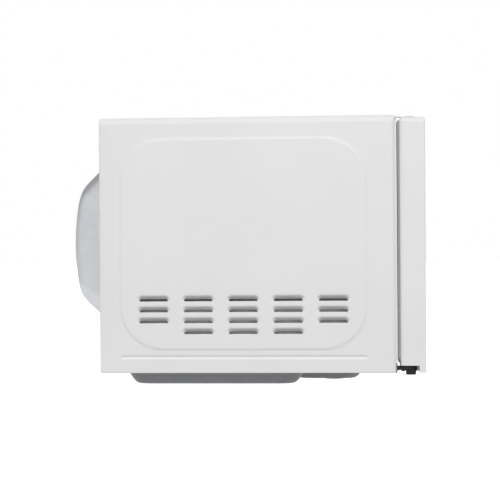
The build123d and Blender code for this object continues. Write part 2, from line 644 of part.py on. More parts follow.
blade_count = 5
with BuildPart() as fan_blade:
    rod((fan_x, shroud_y - 10, fan_z), 13, 14, "Y")
    fillet(fan_blade.faces().sort_by(Axis.Y)[-1].edges(), 3)
    rod((fan_x, shroud_y - 30, fan_z), 2.5, 44, "Y")
    for index in range(blade_count):
        angle = 360 * index / blade_count
        reach = fan_radius - 10
        centre = 10 + reach / 2
        with Locations(Location((fan_x, shroud_y - 10, fan_z), (0, angle, 0))):
            with Locations(Location((centre, 0, 0), (32, 0, 0))):
                Box(reach, 1.6, 22)
save(fan_blade, "fan_blade")

with BuildPart() as air_duct:
    block(guide_x0, yoke_x1, duct_y0, duct_y1, tube_z - yoke_z / 2, tube_z + yoke_z / 2)
    block(guide_x0 - 2, yoke_x1 - 2, duct_y0 + 2, duct_y1 + 1,
          tube_z - yoke_z / 2 + 2, tube_z + yoke_z / 2 - 2, Mode.SUBTRACT)
save(air_duct, "air_duct")

lamp_x = cavity_right + sheet
with BuildPart() as lamp_housing:
    block(lamp_x, lamp_x + 1, lamp_y - lamp_flange, lamp_y + lamp_flange,
          lamp_z - lamp_flange, lamp_z + lamp_flange)
    rod((lamp_x + 18, lamp_y, lamp_z), 15, 36, "X")
    rod((lamp_x + 17, lamp_y, lamp_z), 14, 36, "X", Mode.SUBTRACT)
    rod((lamp_x + 29, lamp_y, lamp_z), 8, 13, "X")
    rod((lamp_x + 27, lamp_y, lamp_z), 6.5, 12, "X", Mode.SUBTRACT)
save(lamp_housing, "lamp_housing")

with BuildPart() as lamp_bulb:
    with Locations((lamp_x + 14, lamp_y, lamp_z)):
        Sphere(9, rotation=(0, 90, 0))
    rod((lamp_x + 25, lamp_y, lamp_z), 6.4, 16, "X")
save(lamp_bulb, "lamp_bulb")

with BuildPart() as noise_filter_board:
    board_z = base_z + louver_top + louver_height + 12
    block(inner_x - 6, inner_x - 4.4, rear_y - 84, rear_y - 8, board_z, board_z + 42)
    for y in (rear_y - 80, rear_y - 12):
        for z in (board_z + 4, board_z + 38):
            rod((inner_x - 2.2, y, z), 2.5, 4.4, "X")
save(noise_filter_board, "noise_filter_board")

with BuildPart() as cavity_thermostat:
    rod((cavity_right + sheet + 4, tube_y + 20, base_z + 96), 8, 8, "X")
    block(cavity_right + sheet, cavity_right + sheet + 1, tube_y + 8, tube_y + 32, base_z + 90, base_z + 102)
    with Locations(*[(cavity_right + sheet + 11, tube_y + 20 + dy, base_z + 96) for dy in (-4, 4)]):
        Box(8, 0.8, 5)
save(cavity_thermostat, "cavity_thermostat")

# ================================================================ turntable
track_floor_z = cavity_floor_z - track_depth
wheel_z = track_floor_z + roll_gap + wheel_radius
tray_under_z = wheel_z + wheel_radius + roll_gap
motor_top_z = cavity_floor_z - sheet
with BuildPart() as turntable_motor:
    rod((cavity_mid_x, table_y, motor_top_z - motor_height / 2), motor_radius, motor_height)
    block(cavity_mid_x - motor_radius - 8, cavity_mid_x + motor_radius + 8, table_y - 6, table_y + 6,
          motor_top_z - 1, motor_top_z)
    rod((cavity_mid_x, table_y, motor_top_z - motor_height / 2), shaft_radius + running_gap, 2 * motor_height,
        mode=Mode.SUBTRACT)
save(turntable_motor, "turntable_motor")

coupler_hub = 8.0
lobe_reach = 15.0
lobe_thickness = 5.0
with BuildPart() as drive_coupler:
    shaft_foot_z = motor_top_z - motor_height + 2
    rod((cavity_mid_x, table_y, (shaft_foot_z + tray_under_z) / 2), shaft_radius, tray_under_z - shaft_foot_z)
    hub_low = motor_top_z + 2
    rod((cavity_mid_x, table_y, (hub_low + tray_under_z) / 2), coupler_hub, tray_under_z - hub_low)
    lobe_mid_z = tray_under_z - lobe_thickness / 2
    for index in range(3):
        with Locations(Location((cavity_mid_x, table_y, lobe_mid_z), (0, 0, 120 * index))):
            with Locations((lobe_reach / 2, 0, 0)):
                Box(lobe_reach, 7, lobe_thickness)
save(drive_coupler, "drive_coupler")

tray_half = tray_glass / 2
with BuildPart() as glass_tray:
    tray_plane = Plane(origin=(cavity_mid_x, table_y, tray_under_z), x_dir=(1, 0, 0), z_dir=(0, -1, 0))
    with BuildSketch(tray_plane):
        with BuildLine():
            Polyline(
                (0, 0),
                (tray_radius - 12, 0),
                (tray_radius, tray_rim),
                (tray_radius, tray_rim + tray_half),
                (tray_radius - 2, tray_rim + tray_half),
                (tray_radius - 13.5, tray_glass),
                (0, tray_glass),
                close=True,
            )
        make_face()
    revolve(axis=Axis((cavity_mid_x, table_y, 0), (0, 0, 1)))
save(glass_tray, "glass_tray")

axle_radius = 2.0
ring_gap = 1.5  # between the ring and the wheels
ring_width = 6.0
ring_outer = track_radius - wheel_width / 2 - ring_gap
axle_end = track_radius + wheel_width / 2 + ring_gap
with BuildPart() as roller_ring:
    with BuildSketch(Plane.XY.offset(wheel_z - 2)):
        with Locations((cavity_mid_x, table_y)):
            Circle(ring_outer)
            Circle(ring_outer - ring_width, mode=Mode.SUBTRACT)
    extrude(amount=4)
    for index in range(3):
        with Locations(Location((cavity_mid_x, table_y, wheel_z), (0, 0, 120 * index))):
            with Locations(Location(((ring_outer - 2 + axle_end) / 2, 0, 0), (0, 90, 0))):
                Cylinder(axle_radius, axle_end - ring_outer + 2)
save(roller_ring, "roller_ring")

for index in range(3):
    angle = 120 * index
    with BuildPart() as roller_wheel:
        with Locations(Location((cavity_mid_x, table_y, wheel_z), (0, 0, angle))):
            with Locations(Location((track_radius, 0, 0), (0, 90, 0))):
                Cylinder(wheel_radius, wheel_width)
        fillet(roller_wheel.edges().filter_by(GeomType.CIRCLE), 0.8)
        with Locations(Location((cavity_mid_x, table_y, wheel_z), (0, 0, angle))):
            with Locations(Location((track_radius, 0, 0), (0, 90, 0))):
                Cylinder(axle_radius + running_gap, 2 * wheel_width, mode=Mode.SUBTRACT)
    save(roller_wheel, f"roller_wheel_{index + 1}")

# ================================================================ hinges
ear_x0 = -inner_x + sheet + 0.3
ear_x1 = cavity_left - sheet - 0.3
notch_roof_z = door_bottom + notch_height
lower_bar_top = notch_roof_z - 0.9
lower_bar = (lower_bar_top - 3.5, lower_bar_top)
nose_radius = ear_x1 - hinge_x
with BuildPart() as lower_hinge:
    block(hinge_x - nose_radius, ear_x1, hinge_y, plate_back_y + 1.5, *lower_bar)
    rod((hinge_x, hinge_y, sum(lower_bar) / 2), nose_radius, lower_bar[1] - lower_bar[0])
    block(ear_x0, ear_x1, plate_back_y, plate_back_y + 1.5, lower_bar[0], base_z + 34)
    rod((hinge_x, hinge_y, lower_bar_top + pin_length / 2), pin_radius, pin_length)
    with BuildSketch(Plane.XY.offset(lower_bar[0])):
        with Locations((hinge_x, hinge_y)):
            RectangleRounded(10, 10, 2)
    extrude(amount=-4.5, taper=6)
    rod((hinge_x, hinge_y + 7.6, lower_bar[0] - 0.7), 1.4, 1.4)
save(lower_hinge, "lower_hinge")

ear_z = (door_top + 0.25, door_top + 0.85)
ear_tail_x0 = -inner_x + cabinet_corner - 0.8
with BuildPart() as upper_hinge:
    block(ear_x0, ear_x1, plate_back_y, plate_back_y + 1.2, top_z - 40, top_z - 12)
    block(ear_tail_x0, ear_x1, plate_back_y, plate_back_y + 1.2, top_z - 14, ear_z[1])
    block(ear_tail_x0, ear_x1, hinge_y, plate_back_y + 1.2, *ear_z)
    rod((hinge_x, hinge_y, (ear_z[0] + ear_z[1]) / 2), 5, ear_z[1] - ear_z[0])
    rod((hinge_x, hinge_y, ear_z[0] - pin_length / 2), pin_radius, pin_length)
save(upper_hinge, "upper_hinge")

# ================================================================ door
door_wall = 4.5
seal_margin = 6.5
seal_gap = 0.4
inner_panel_y = (door_back_y - 5.8, door_back_y - 5.0)
bezel = 2.0
with BuildPart() as door_frame:
    with BuildSketch(Plane.XZ.offset(-door_back_y)) as door_outline:
        with Locations((door_mid_x, door_mid_z)):
            Rectangle(door_width, door_height)
        fillet(door_outline.vertices().group_by(Axis.X)[0].sort_by(Axis.Y)[-1], cabinet_corner - 2)
    extrude(amount=door_thickness)
    fillet(door_frame.faces().sort_by(Axis.Y)[-1].edges(), rear_edge_radius)
    fillet(door_frame.faces().sort_by(Axis.Y)[0].edges(), 1.5)
    block(door_left + door_wall, door_right - door_wall, panel_back_y, door_back_y + 1,
          door_bottom + door_wall, door_top - door_wall, Mode.SUBTRACT)
    wx, wz = window_mid
    block(wx - window_size[0] / 2 - bezel, wx + window_size[0] / 2 + bezel, front_y + 1, inner_panel_y[0],
          wz - window_size[1] / 2 - bezel, wz + window_size[1] / 2 + bezel)
    block(wx - window_size[0] / 2, wx + window_size[0] / 2, front_y - 1, inner_panel_y[0] + 1,
          wz - window_size[1] / 2, wz + window_size[1] / 2, Mode.SUBTRACT)
    # Hinge corners: a notch with a roof at the bottom, and a drilled block for each pin.
    block(door_left + 2, door_left + notch_width + 2, panel_back_y, inner_panel_y[0], door_bottom + 2,
          notch_roof_z + 2.5)
    block(door_left + 2, hinge_x + 7, hinge_y - 5, inner_panel_y[0], notch_roof_z + 1, notch_roof_z + 12)
    block(door_left + 2, hinge_x + 7, hinge_y - 5, inner_panel_y[0], door_top - 12, door_top - door_wall + 1)
    block(door_left - 1, door_left + notch_width, door_back_y - notch_length, door_back_y + 1,
          door_bottom - 1, notch_roof_z, Mode.SUBTRACT)
    rod((hinge_x, hinge_y, notch_roof_z + 4), pin_radius + running_gap, 14, mode=Mode.SUBTRACT)
    rod((hinge_x, hinge_y, door_top - 4), pin_radius + running_gap, 14, mode=Mode.SUBTRACT)
save(door_frame, "door_frame")

pane_clearance = 0.2
with BuildPart() as door_window:
    block(wx - window_size[0] / 2 + pane_clearance, wx + window_size[0] / 2 - pane_clearance,
          front_y + 0.3, front_y + 3.3,
          wz - window_size[1] / 2 + pane_clearance, wz + window_size[1] / 2 - pane_clearance)
    fillet(door_window.faces().sort_by(Axis.Y)[0].edges(), 0.6)
save(door_window, "door_window")

seal_x = (cavity_left - seal_margin, cavity_right + seal_margin)
seal_z = (cavity_floor_z - seal_margin, cavity_top_z + seal_margin)
rim = 1.0
with BuildPart() as door_inner_panel:
    block(seal_x[0] + rim, seal_x[1] - rim, *inner_panel_y, seal_z[0] + rim, seal_z[1] - rim)
    block(seal_x[0] + rim, seal_x[1] - rim, inner_panel_y[0], door_back_y - 2.5,
          seal_z[0] + rim, seal_z[1] - rim)
    block(seal_x[0] + rim + sheet, seal_x[1] - rim - sheet, inner_panel_y[1], door_back_y,
          seal_z[0] + rim + sheet, seal_z[1] - rim - sheet, Mode.SUBTRACT)
    block(wx - window_size[0] / 2 + 2, wx + window_size[0] / 2 - 2,
          inner_panel_y[0] - 1, inner_panel_y[1] + 1,
          wz - window_size[1] / 2 + 2, wz + window_size[1] / 2 - 2, Mode.SUBTRACT)
save(door_inner_panel, "door_inner_panel")

with BuildPart() as door_screen:
    block(wx - window_size[0] / 2 - 6, wx + window_size[0] / 2 + 6, inner_panel_y[1], inner_panel_y[1] + 0.5,
          wz - window_size[1] / 2 - 6, wz + window_size[1] / 2 + 6)
save(door_screen, "door_screen")

cover_clearance = 0.3
hook_half = hook_thickness / 2
land_x = (cavity_left - land_reach[0], cavity_right + seal_margin)
land_z = (cavity_floor_z - seal_margin, cavity_top_z + land_reach[1])
with BuildPart() as door_choke_cover:
    block(door_left + door_wall + cover_clearance, door_right - door_wall - cover_clearance,
          door_back_y - 2.5, door_back_y - 0.3,
          door_bottom + door_wall + cover_clearance, door_top - door_wall - cover_clearance)
    with BuildSketch(Plane.XZ.offset(-(door_back_y - 2.5))):
        with Locations((cavity_mid_x, (seal_z[0] + seal_z[1]) / 2)):
            RectangleRounded(seal_x[1] - seal_x[0], seal_z[1] - seal_z[0], 6)
    extrude(amount=-2.5)
    with BuildSketch(Plane.XZ.offset(-door_back_y)):
        with Locations(((land_x[0] + land_x[1]) / 2, (land_z[0] + land_z[1]) / 2)):
            RectangleRounded(land_x[1] - land_x[0], land_z[1] - land_z[0], 6)
    extrude(amount=-(door_gap - seal_gap))
    fillet(door_choke_cover.faces().sort_by(Axis.Y)[-1].edges(), 1.2)
    block(wx - window_size[0] / 2 - 2, wx + window_size[0] / 2 + 2, door_back_y - 3, face_y,
          wz - window_size[1] / 2 - 2, wz + window_size[1] / 2 + 2, Mode.SUBTRACT)
    block(door_left, door_left + notch_width + 2.3, door_back_y - 3, face_y, door_bottom, notch_roof_z + 2.8,
          Mode.SUBTRACT)
    for z in hook_z:
        block(hook_x - hook_half - 0.8, hook_x + hook_half + 0.8, door_back_y - 3, face_y,
              z - hook_height / 2 - 0.8, z + hook_height / 2 + latch_lift + 0.8, Mode.SUBTRACT)
save(door_choke_cover, "door_choke_cover")

with BuildPart() as door_inner_window:
    block(wx - window_size[0] / 2 - 5, wx + window_size[0] / 2 + 5, door_back_y - 4, door_back_y - 2.5,
          wz - window_size[1] / 2 - 5, wz + window_size[1] / 2 + 5)
save(door_inner_window, "door_inner_window")

bar_y = (door_back_y - 13, door_back_y - 7)
bar_z = (hook_z[0] - hook_height / 2, hook_z[1] + hook_height / 2 + 6)
with BuildPart() as door_latch:
    block(hook_x - hook_half, hook_x + hook_half, *bar_y, *bar_z)
    for z in hook_z:
        block(hook_x - hook_half, hook_x + hook_half, bar_y[0], hook_tip_y,
              z - hook_height / 2, z + hook_height / 2)
        with BuildSketch(Plane.YZ.offset(hook_x - hook_half)):
            with BuildLine():
                Polyline(
                    (hook_tip_y - nose_length, z - hook_height / 2 + 1),
                    (hook_tip_y - nose_length, z - hook_height / 2 - nose_drop),
                    (hook_tip_y - nose_length + 2.5, z - hook_height / 2 - nose_drop),
                    (hook_tip_y, z - hook_height / 2 + 1),
                    close=True,
                )
            make_face()
        extrude(amount=hook_thickness)
save(door_latch, "door_latch")

spring_wire = 0.6
spring_turns = 7
spring_length = 18.0
spring_y = (bar_y[0] + bar_y[1]) / 2
with BuildPart() as latch_spring:
    with BuildLine(Plane((hook_x, spring_y, bar_z[1] + spring_wire))) as coil:
        Helix(spring_length / spring_turns, spring_length, 2.0)
    with BuildSketch(Plane(coil.line @ 0, z_dir=coil.line % 0)):
        Circle(spring_wire)
    sweep(is_frenet=True)
save(latch_spring, "latch_spring")

# ================================================================ latch release and interlocks
lift_reach = latch_lift / (button_travel / lever_arm)
pivot_y = hook_tip_y - nose_length + 1.2 - lift_reach
nose_z = hook_z[0] - hook_height / 2 - nose_drop
pivot_z = nose_z - 0.4 - 2.0
stem_x0 = panel_mid_x - button_width / 2 - 3
stem_x1 = stem_x0 + 5
spine_x = (hook_x - 7, hook_x + 9)
spine_y = (plate_back_y + 24, plate_back_y + 27)
with BuildPart() as release_lever:
    rod(((spine_x[0] + stem_x1 + 1) / 2, pivot_y, pivot_z), lever_shaft_radius, stem_x1 + 1 - spine_x[0], "X")
    block(stem_x0 - 0.5, stem_x1 + 0.5, pivot_y - 1.5, pivot_y + 1.5, pivot_z - lever_arm - 3, pivot_z)
    block(hook_x + 0.6, hook_x + 3, pivot_y, pivot_y + lift_reach, pivot_z - 2, pivot_z + 2)
save(release_lever, "release_lever")

with BuildPart() as interlock_frame:
    block(*spine_x, *spine_y, nose_z - 16, hook_z[1] + 16)
    for z in (nose_z - 16, hook_z[1] + 12):
        block(*spine_x, plate_back_y, spine_y[1], z, z + 4)
    for x in (spine_x[0], hook_x + 4.5):
        block(x, x + 2.5, plate_back_y + 2, spine_y[1], pivot_z - 8, pivot_z + 8)
    rod((hook_x, pivot_y, pivot_z), lever_shaft_radius + running_gap, 40, "X", Mode.SUBTRACT)
    ledge_y = hook_tip_y - nose_length
    block(spine_x[0], hook_x - 0.5, ledge_y + 3, spine_y[1], nose_z - 8, nose_z - 0.4)
    block(*spine_x, ledge_y, spine_y[1], hook_z[1] - hook_height / 2 - nose_drop - 5,
          hook_z[1] - hook_height / 2 - nose_drop - 0.4)
save(interlock_frame, "interlock_frame")

with BuildPart() as microswitches:
    for z in (hook_z[0] + 4, hook_z[0] + 30, hook_z[1] - 20):
        block(spine_x[1], spine_x[1] + 6.5, spine_y[1] - 10, spine_y[1], z, z + 20)
        block(spine_x[1] + 2, spine_x[1] + 4.5, spine_y[1] - 11.5, spine_y[1] - 10, z + 5, z + 7.5)
save(microswitches, "microswitches")

# ================================================================ control panel
button_mid_z = door_bottom + button_rise
display_z = door_top - display_drop
board_y = (front_y + 12, front_y + 13.6)
first_row_z = door_top - key_rows_top
key_places = [(panel_mid_x + dx * key_pitch_x / 2, first_row_z - row * key_pitch_z)
              for row in range(2) for dx in (-1, 1)]
start_z = first_row_z - key_pitch_z - start_row
start_places = [(panel_mid_x + dx * (start_width + 10) / 2, start_z) for dx in (-1, 1)]
key_places += start_places
key_sizes = 4 * [(key_width, key_height)] + 2 * [(start_width, start_height)]
board_low = start_z - start_height / 2 - 10
board_high = display_z + display_height / 2 + 8
with BuildPart() as control_panel:
    with BuildSketch(Plane.XZ.offset(-face_y)) as panel_outline:
        with Locations((panel_mid_x, door_mid_z)):
            Rectangle(panel_width, door_height)
        fillet(panel_outline.vertices().group_by(Axis.X)[-1].sort_by(Axis.Y)[-1], cabinet_corner - 2)
    extrude(amount=door_thickness + door_gap)
    fillet(control_panel.faces().sort_by(Axis.Y)[0].edges(), 1.5)
    block(panel_left + plastic, panel_right - plastic, panel_back_y, face_y + 1, door_bottom + plastic,
          door_top - plastic, Mode.SUBTRACT)
    for (x, z), (w, h) in zip(key_places, key_sizes):
        block(x - w / 2 - panel_air, x + w / 2 + panel_air, front_y - 1, panel_back_y + 1,
              z - h / 2 - panel_air, z + h / 2 + panel_air, Mode.SUBTRACT)
    block(panel_mid_x - button_width / 2 - panel_air, panel_mid_x + button_width / 2 + panel_air,
          front_y - 1, panel_back_y + 1,
          button_mid_z - button_height / 2 - panel_air, button_mid_z + button_height / 2 + panel_air,
          Mode.SUBTRACT)
    block(panel_mid_x - display_width / 2, panel_mid_x + display_width / 2, front_y - 1, panel_back_y + 1,
          display_z - display_height / 2, display_z + display_height / 2, Mode.SUBTRACT)
    for x in (panel_left + 11, panel_right - 11):
        for z in (board_low + 4, board_high - 4):
            rod((x, (panel_back_y + board_y[0]) / 2, z), 2.5, board_y[0] - panel_back_y, "Y")
save(control_panel, "control_panel")

with BuildPart() as display_window:
    block(panel_mid_x - display_width / 2, panel_mid_x + display_width / 2, front_y + 0.3, panel_back_y,
          display_z - display_height / 2, display_z + display_height / 2)
    block(panel_mid_x - display_width / 2 - 3, panel_mid_x + display_width / 2 + 3,
          panel_back_y, panel_back_y + 1,
          display_z - display_height / 2 - 3, display_z + display_height / 2 + 3)
save(display_window, "display_window")

with BuildPart() as display_module:
    block(panel_mid_x - display_width / 2 + 6, panel_mid_x + display_width / 2 - 6,
          panel_back_y + 1.5, board_y[0],
          display_z - display_height / 2 + 3, display_z + display_height / 2 - 3)
save(display_module, "display_module")

with BuildPart() as control_board:
    block(panel_left + 7, panel_right - 7, *board_y, board_low, board_high)
    block(panel_mid_x - 26, panel_mid_x + 6, board_y[1], board_y[1] + 8, start_z + 12, start_z + 40)
    for x in (-22, 18):
        block(panel_mid_x + x, panel_mid_x + x + 14, board_y[1], board_y[1] + 10, start_z - 12, start_z + 4)
save(control_board, "control_board")

key_names = ["power_key", "timer_key", "defrost_key", "clock_key", "stop_key", "start_key"]
for name, (x, z), (w, h) in zip(key_names, key_places, key_sizes):
    with BuildPart() as key:
        block(x - w / 2, x + w / 2, front_y, panel_back_y + 0.2, z - h / 2, z + h / 2)
        fillet(key.faces().sort_by(Axis.Y)[0].edges(), 0.8)
        block(x - w / 2 - 1.5, x + w / 2 + 1.5, panel_back_y + 0.2, panel_back_y + 1.4,
              z - h / 2 - 1.5, z + h / 2 + 1.5)
        stem_end = board_y[0] - key_travel - 0.2
        rod((x, (panel_back_y + stem_end) / 2, z), 2, stem_end - panel_back_y, "Y")
    save(key, name)

with BuildPart() as door_button:
    block(panel_mid_x - button_width / 2, panel_mid_x + button_width / 2, front_y, panel_back_y + 0.3,
          button_mid_z - button_height / 2, button_mid_z + button_height / 2)
    fillet(door_button.faces().sort_by(Axis.Y)[0].edges(), 1)
    block(panel_mid_x - button_width / 2 - 3, panel_mid_x + button_width / 2 + 3, panel_back_y + 0.3,
          panel_back_y + 2.3, button_mid_z - button_height / 2 - 3, button_mid_z + button_height / 2 + 3)
    push_y = pivot_y - 1.5 - 0.4 - push_radius
    push_z = pivot_z - lever_arm
    block(stem_x0, stem_x1, panel_back_y + 2, push_y, push_z - push_radius, push_z + push_radius)
    rod(((stem_x0 + stem_x1) / 2, push_y, push_z), push_radius, stem_x1 - stem_x0, "X")
save(door_button, "door_button")
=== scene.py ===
import json
import math
import bpy
import numpy as np
from mathutils import Matrix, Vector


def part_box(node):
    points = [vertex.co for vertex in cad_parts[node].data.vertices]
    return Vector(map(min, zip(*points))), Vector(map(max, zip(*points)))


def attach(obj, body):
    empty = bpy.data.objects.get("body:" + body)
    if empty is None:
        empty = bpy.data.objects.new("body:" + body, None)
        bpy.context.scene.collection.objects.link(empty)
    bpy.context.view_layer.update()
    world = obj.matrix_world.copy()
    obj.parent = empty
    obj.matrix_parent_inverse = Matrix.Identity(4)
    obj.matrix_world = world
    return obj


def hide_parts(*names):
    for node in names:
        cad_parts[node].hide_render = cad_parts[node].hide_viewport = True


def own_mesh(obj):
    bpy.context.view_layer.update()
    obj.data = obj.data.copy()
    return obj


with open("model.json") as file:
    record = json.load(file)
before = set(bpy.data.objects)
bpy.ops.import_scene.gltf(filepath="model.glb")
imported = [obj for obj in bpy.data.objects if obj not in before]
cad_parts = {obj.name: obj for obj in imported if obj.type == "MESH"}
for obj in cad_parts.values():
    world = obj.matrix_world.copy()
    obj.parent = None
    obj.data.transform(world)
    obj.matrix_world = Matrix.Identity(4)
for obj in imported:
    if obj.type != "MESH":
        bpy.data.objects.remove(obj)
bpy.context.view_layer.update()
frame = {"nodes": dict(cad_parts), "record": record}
mm = 0.001


def startFinish(name):
    finish = bpy.data.materials.new(name)
    finish.use_nodes = True
    tree = finish.node_tree
    place = tree.nodes.new("ShaderNodeTexCoord").outputs["Object"]  # metres, so a finish has a real scale
    return finish, tree, tree.nodes["Principled BSDF"], place


def noiseAt(tree, place, scale, detail=3.0):
    noise = tree.nodes.new("ShaderNodeTexNoise")
    noise.inputs["Scale"].default_value = scale
    noise.inputs["Detail"].default_value = detail
    tree.links.new(place, noise.inputs["Vector"])
    return noise.outputs["Fac"]


def twoTones(tree, factor, dark, light, darkTo=0.3, lightFrom=0.7):
    ramp = tree.nodes.new("ShaderNodeValToRGB")
    ramp.color_ramp.elements[0].position = darkTo
    ramp.color_ramp.elements[0].color = (*dark, 1)
    ramp.color_ramp.elements[1].position = lightFrom
    ramp.color_ramp.elements[1].color = (*light, 1)
    tree.links.new(factor, ramp.inputs["Fac"])
    return ramp.outputs["Color"]


def spread(tree, factor, low, high):
    span = tree.nodes.new("ShaderNodeMapRange")
    span.inputs["To Min"].default_value = low
    span.inputs["To Max"].default_value = high
    tree.links.new(factor, span.inputs["Value"])
    return span.outputs["Result"]


def addRelief(tree, shader, height, depth):
    bump = tree.nodes.new("ShaderNodeBump")
    bump.inputs["Distance"].default_value = depth
    tree.links.new(height, bump.inputs["Height"])
    tree.links.new(bump.outputs["Normal"], shader.inputs["Normal"])


# A finish: two tones that drift over the surface, a roughness that drifts with them, and a fine relief.
def makeFinish(name, look):
    finish, tree, shader, place = startFinish(name)
    if "stretch" in look:  # drawn or brushed in one direction
        mapping = tree.nodes.new("ShaderNodeMapping")
        mapping.inputs["Scale"].default_value = look["stretch"]
        tree.links.new(place, mapping.inputs["Vector"])
        place = mapping.outputs["Vector"]
    drift = noiseAt(tree, place, look["driftScale"])
    tree.links.new(twoTones(tree, drift, look["dark"], look["light"]), shader.inputs["Base Color"])
    tree.links.new(spread(tree, drift, *look["roughness"]), shader.inputs["Roughness"])
    addRelief(tree, shader, noiseAt(tree, place, look["grainScale"], detail=2.0), look["relief"])
    shader.inputs["Metallic"].default_value = look.get("metal", 0.0)
    shader.inputs["Coat Weight"].default_value = look.get("coat", 0.0)
    shader.inputs["Specular IOR Level"].default_value = look.get("specular", 0.5)
    return finish


powderLook = {"dark": (0.780, 0.782, 0.785), "light": (0.810, 0.811, 0.812), "driftScale": 9.0,
              "roughness": (0.36, 0.44), "grainScale": 900.0, "relief": 0.010 * mm}
mouldedLook = {"dark": (0.790, 0.790, 0.788), "light": (0.815, 0.815, 0.813), "driftScale": 14.0,
               "roughness": (0.28, 0.34), "grainScale": 2600.0, "relief": 0.006 * mm}
enamelLook = {"dark": (0.60, 0.60, 0.585), "light": (0.66, 0.66, 0.645), "driftScale": 60.0,
              "roughness": (0.25, 0.38), "grainScale": 1200.0, "relief": 0.015 * mm}
blackSteelLook = {"dark": (0.004, 0.004, 0.0045), "light": (0.009, 0.009, 0.0095), "driftScale": 80.0,
                  "roughness": (0.5, 0.62), "grainScale": 1500.0, "relief": 0.01 * mm, "specular": 0.22}
brightZincLook = {"dark": (0.50, 0.50, 0.49), "light": (0.66, 0.66, 0.64), "driftScale": 300.0,
                  "roughness": (0.25, 0.4), "grainScale": 2500.0, "relief": 0.004 * mm, "metal": 1.0}
greyMouldLook = {"dark": (0.50, 0.51, 0.52), "light": (0.56, 0.57, 0.58), "driftScale": 60.0,
                 "roughness": (0.4, 0.5), "grainScale": 2400.0, "relief": 0.008 * mm}
blackMouldLook = {"dark": (0.014, 0.014, 0.015), "light": (0.026, 0.026, 0.027), "driftScale": 70.0,
                  "roughness": (0.45, 0.6), "grainScale": 1900.0, "relief": 0.02 * mm}
micaLook = {"dark": (0.33, 0.29, 0.22), "light": (0.50, 0.46, 0.38), "driftScale": 120.0,
            "roughness": (0.3, 0.5), "grainScale": 700.0, "relief": 0.02 * mm, "stretch": (1, 0.3, 1)}
finLook = {"dark": (0.62, 0.63, 0.64), "light": (0.76, 0.77, 0.78), "driftScale": 40.0,
           "roughness": (0.25, 0.4), "grainScale": 900.0, "relief": 0.005 * mm, "metal": 1.0,
           "stretch": (1, 1, 20)}
ferriteLook = {"dark": (0.045, 0.045, 0.047), "light": (0.085, 0.085, 0.088), "driftScale": 150.0,
               "roughness": (0.5, 0.7), "grainScale": 1600.0, "relief": 0.03 * mm, "metal": 0.3}
rubberLook = {"dark": (0.018, 0.018, 0.018), "light": (0.034, 0.034, 0.034), "driftScale": 200.0,
              "roughness": (0.75, 0.9), "grainScale": 2200.0, "relief": 0.03 * mm}
windingLook = {"dark": (0.20, 0.062, 0.018), "light": (0.42, 0.15, 0.05), "driftScale": 50.0,
               "roughness": (0.2, 0.35), "grainScale": 90.0, "relief": 0.3 * mm, "coat": 0.6,
               "stretch": (1, 1, 14)}
boardLook = {"dark": (0.010, 0.070, 0.028), "light": (0.020, 0.115, 0.045), "driftScale": 260.0,
             "roughness": (0.25, 0.45), "grainScale": 420.0, "relief": 0.03 * mm}


# Zinc-dipped sheet: flat crystals of slightly different greys under a dull sheen.
def makeZincSheet(name, look):
    finish, tree, shader, place = startFinish(name)
    cells = tree.nodes.new("ShaderNodeTexVoronoi")
    cells.inputs["Scale"].default_value = look["crystalScale"]
    tree.links.new(place, cells.inputs["Vector"])
    drift = noiseAt(tree, place, look["driftScale"])
    blend = tree.nodes.new("ShaderNodeMix")
    blend.inputs["Factor"].default_value = look["crystalShare"]
    tree.links.new(drift, blend.inputs["A"])
    tree.links.new(cells.outputs["Color"], blend.inputs["B"])
    mixed = blend.outputs["Result"]
    tree.links.new(twoTones(tree, mixed, look["dark"], look["light"]), shader.inputs["Base Color"])
    tree.links.new(spread(tree, mixed, *look["roughness"]), shader.inputs["Roughness"])
    addRelief(tree, shader, noiseAt(tree, place, look["grainScale"]), look["relief"])
    shader.inputs["Metallic"].default_value = look["metal"]
    return finish


zincLook = {"dark": (0.400, 0.408, 0.430), "light": (0.445, 0.453, 0.475), "driftScale": 12.0,
            "crystalScale": 160.0, "crystalShare": 0.35, "roughness": (0.42, 0.52),
            "grainScale": 1400.0, "relief": 0.006 * mm, "metal": 0.85}
# The pan's zinc: a darker, duller copy of the same sheet, its darker tones painted shade for the dark under
# the oven.
zincPaintedShadeLook = {"dark": (0.20, 0.205, 0.215), "light": (0.24, 0.245, 0.255), "driftScale": 10.0,
                "crystalScale": 130.0, "crystalShare": 0.3, "roughness": (0.5, 0.6),
                "grainScale": 1300.0, "relief": 0.006 * mm, "metal": 0.35}


def makeGlass(name, look):
    finish, tree, shader, place = startFinish(name)
    shader.inputs["Transmission Weight"].default_value = 1.0
    shader.inputs["IOR"].default_value = look["ior"]
    drift = noiseAt(tree, place, look["driftScale"])
    tree.links.new(twoTones(tree, drift, look["dark"], look["light"]), shader.inputs["Base Color"])
    tree.links.new(spread(tree, drift, *look["roughness"]), shader.inputs["Roughness"])
    return finish


smokedLook = {"dark": (0.075, 0.078, 0.080), "light": (0.090, 0.093, 0.095), "ior": 1.5, "driftScale": 30.0,
              "roughness": (0.02, 0.05)}
clearLook = {"dark": (0.88, 0.93, 0.91), "light": (0.93, 0.96, 0.95), "ior": 1.5, "driftScale": 30.0,
             "roughness": (0.01, 0.04)}


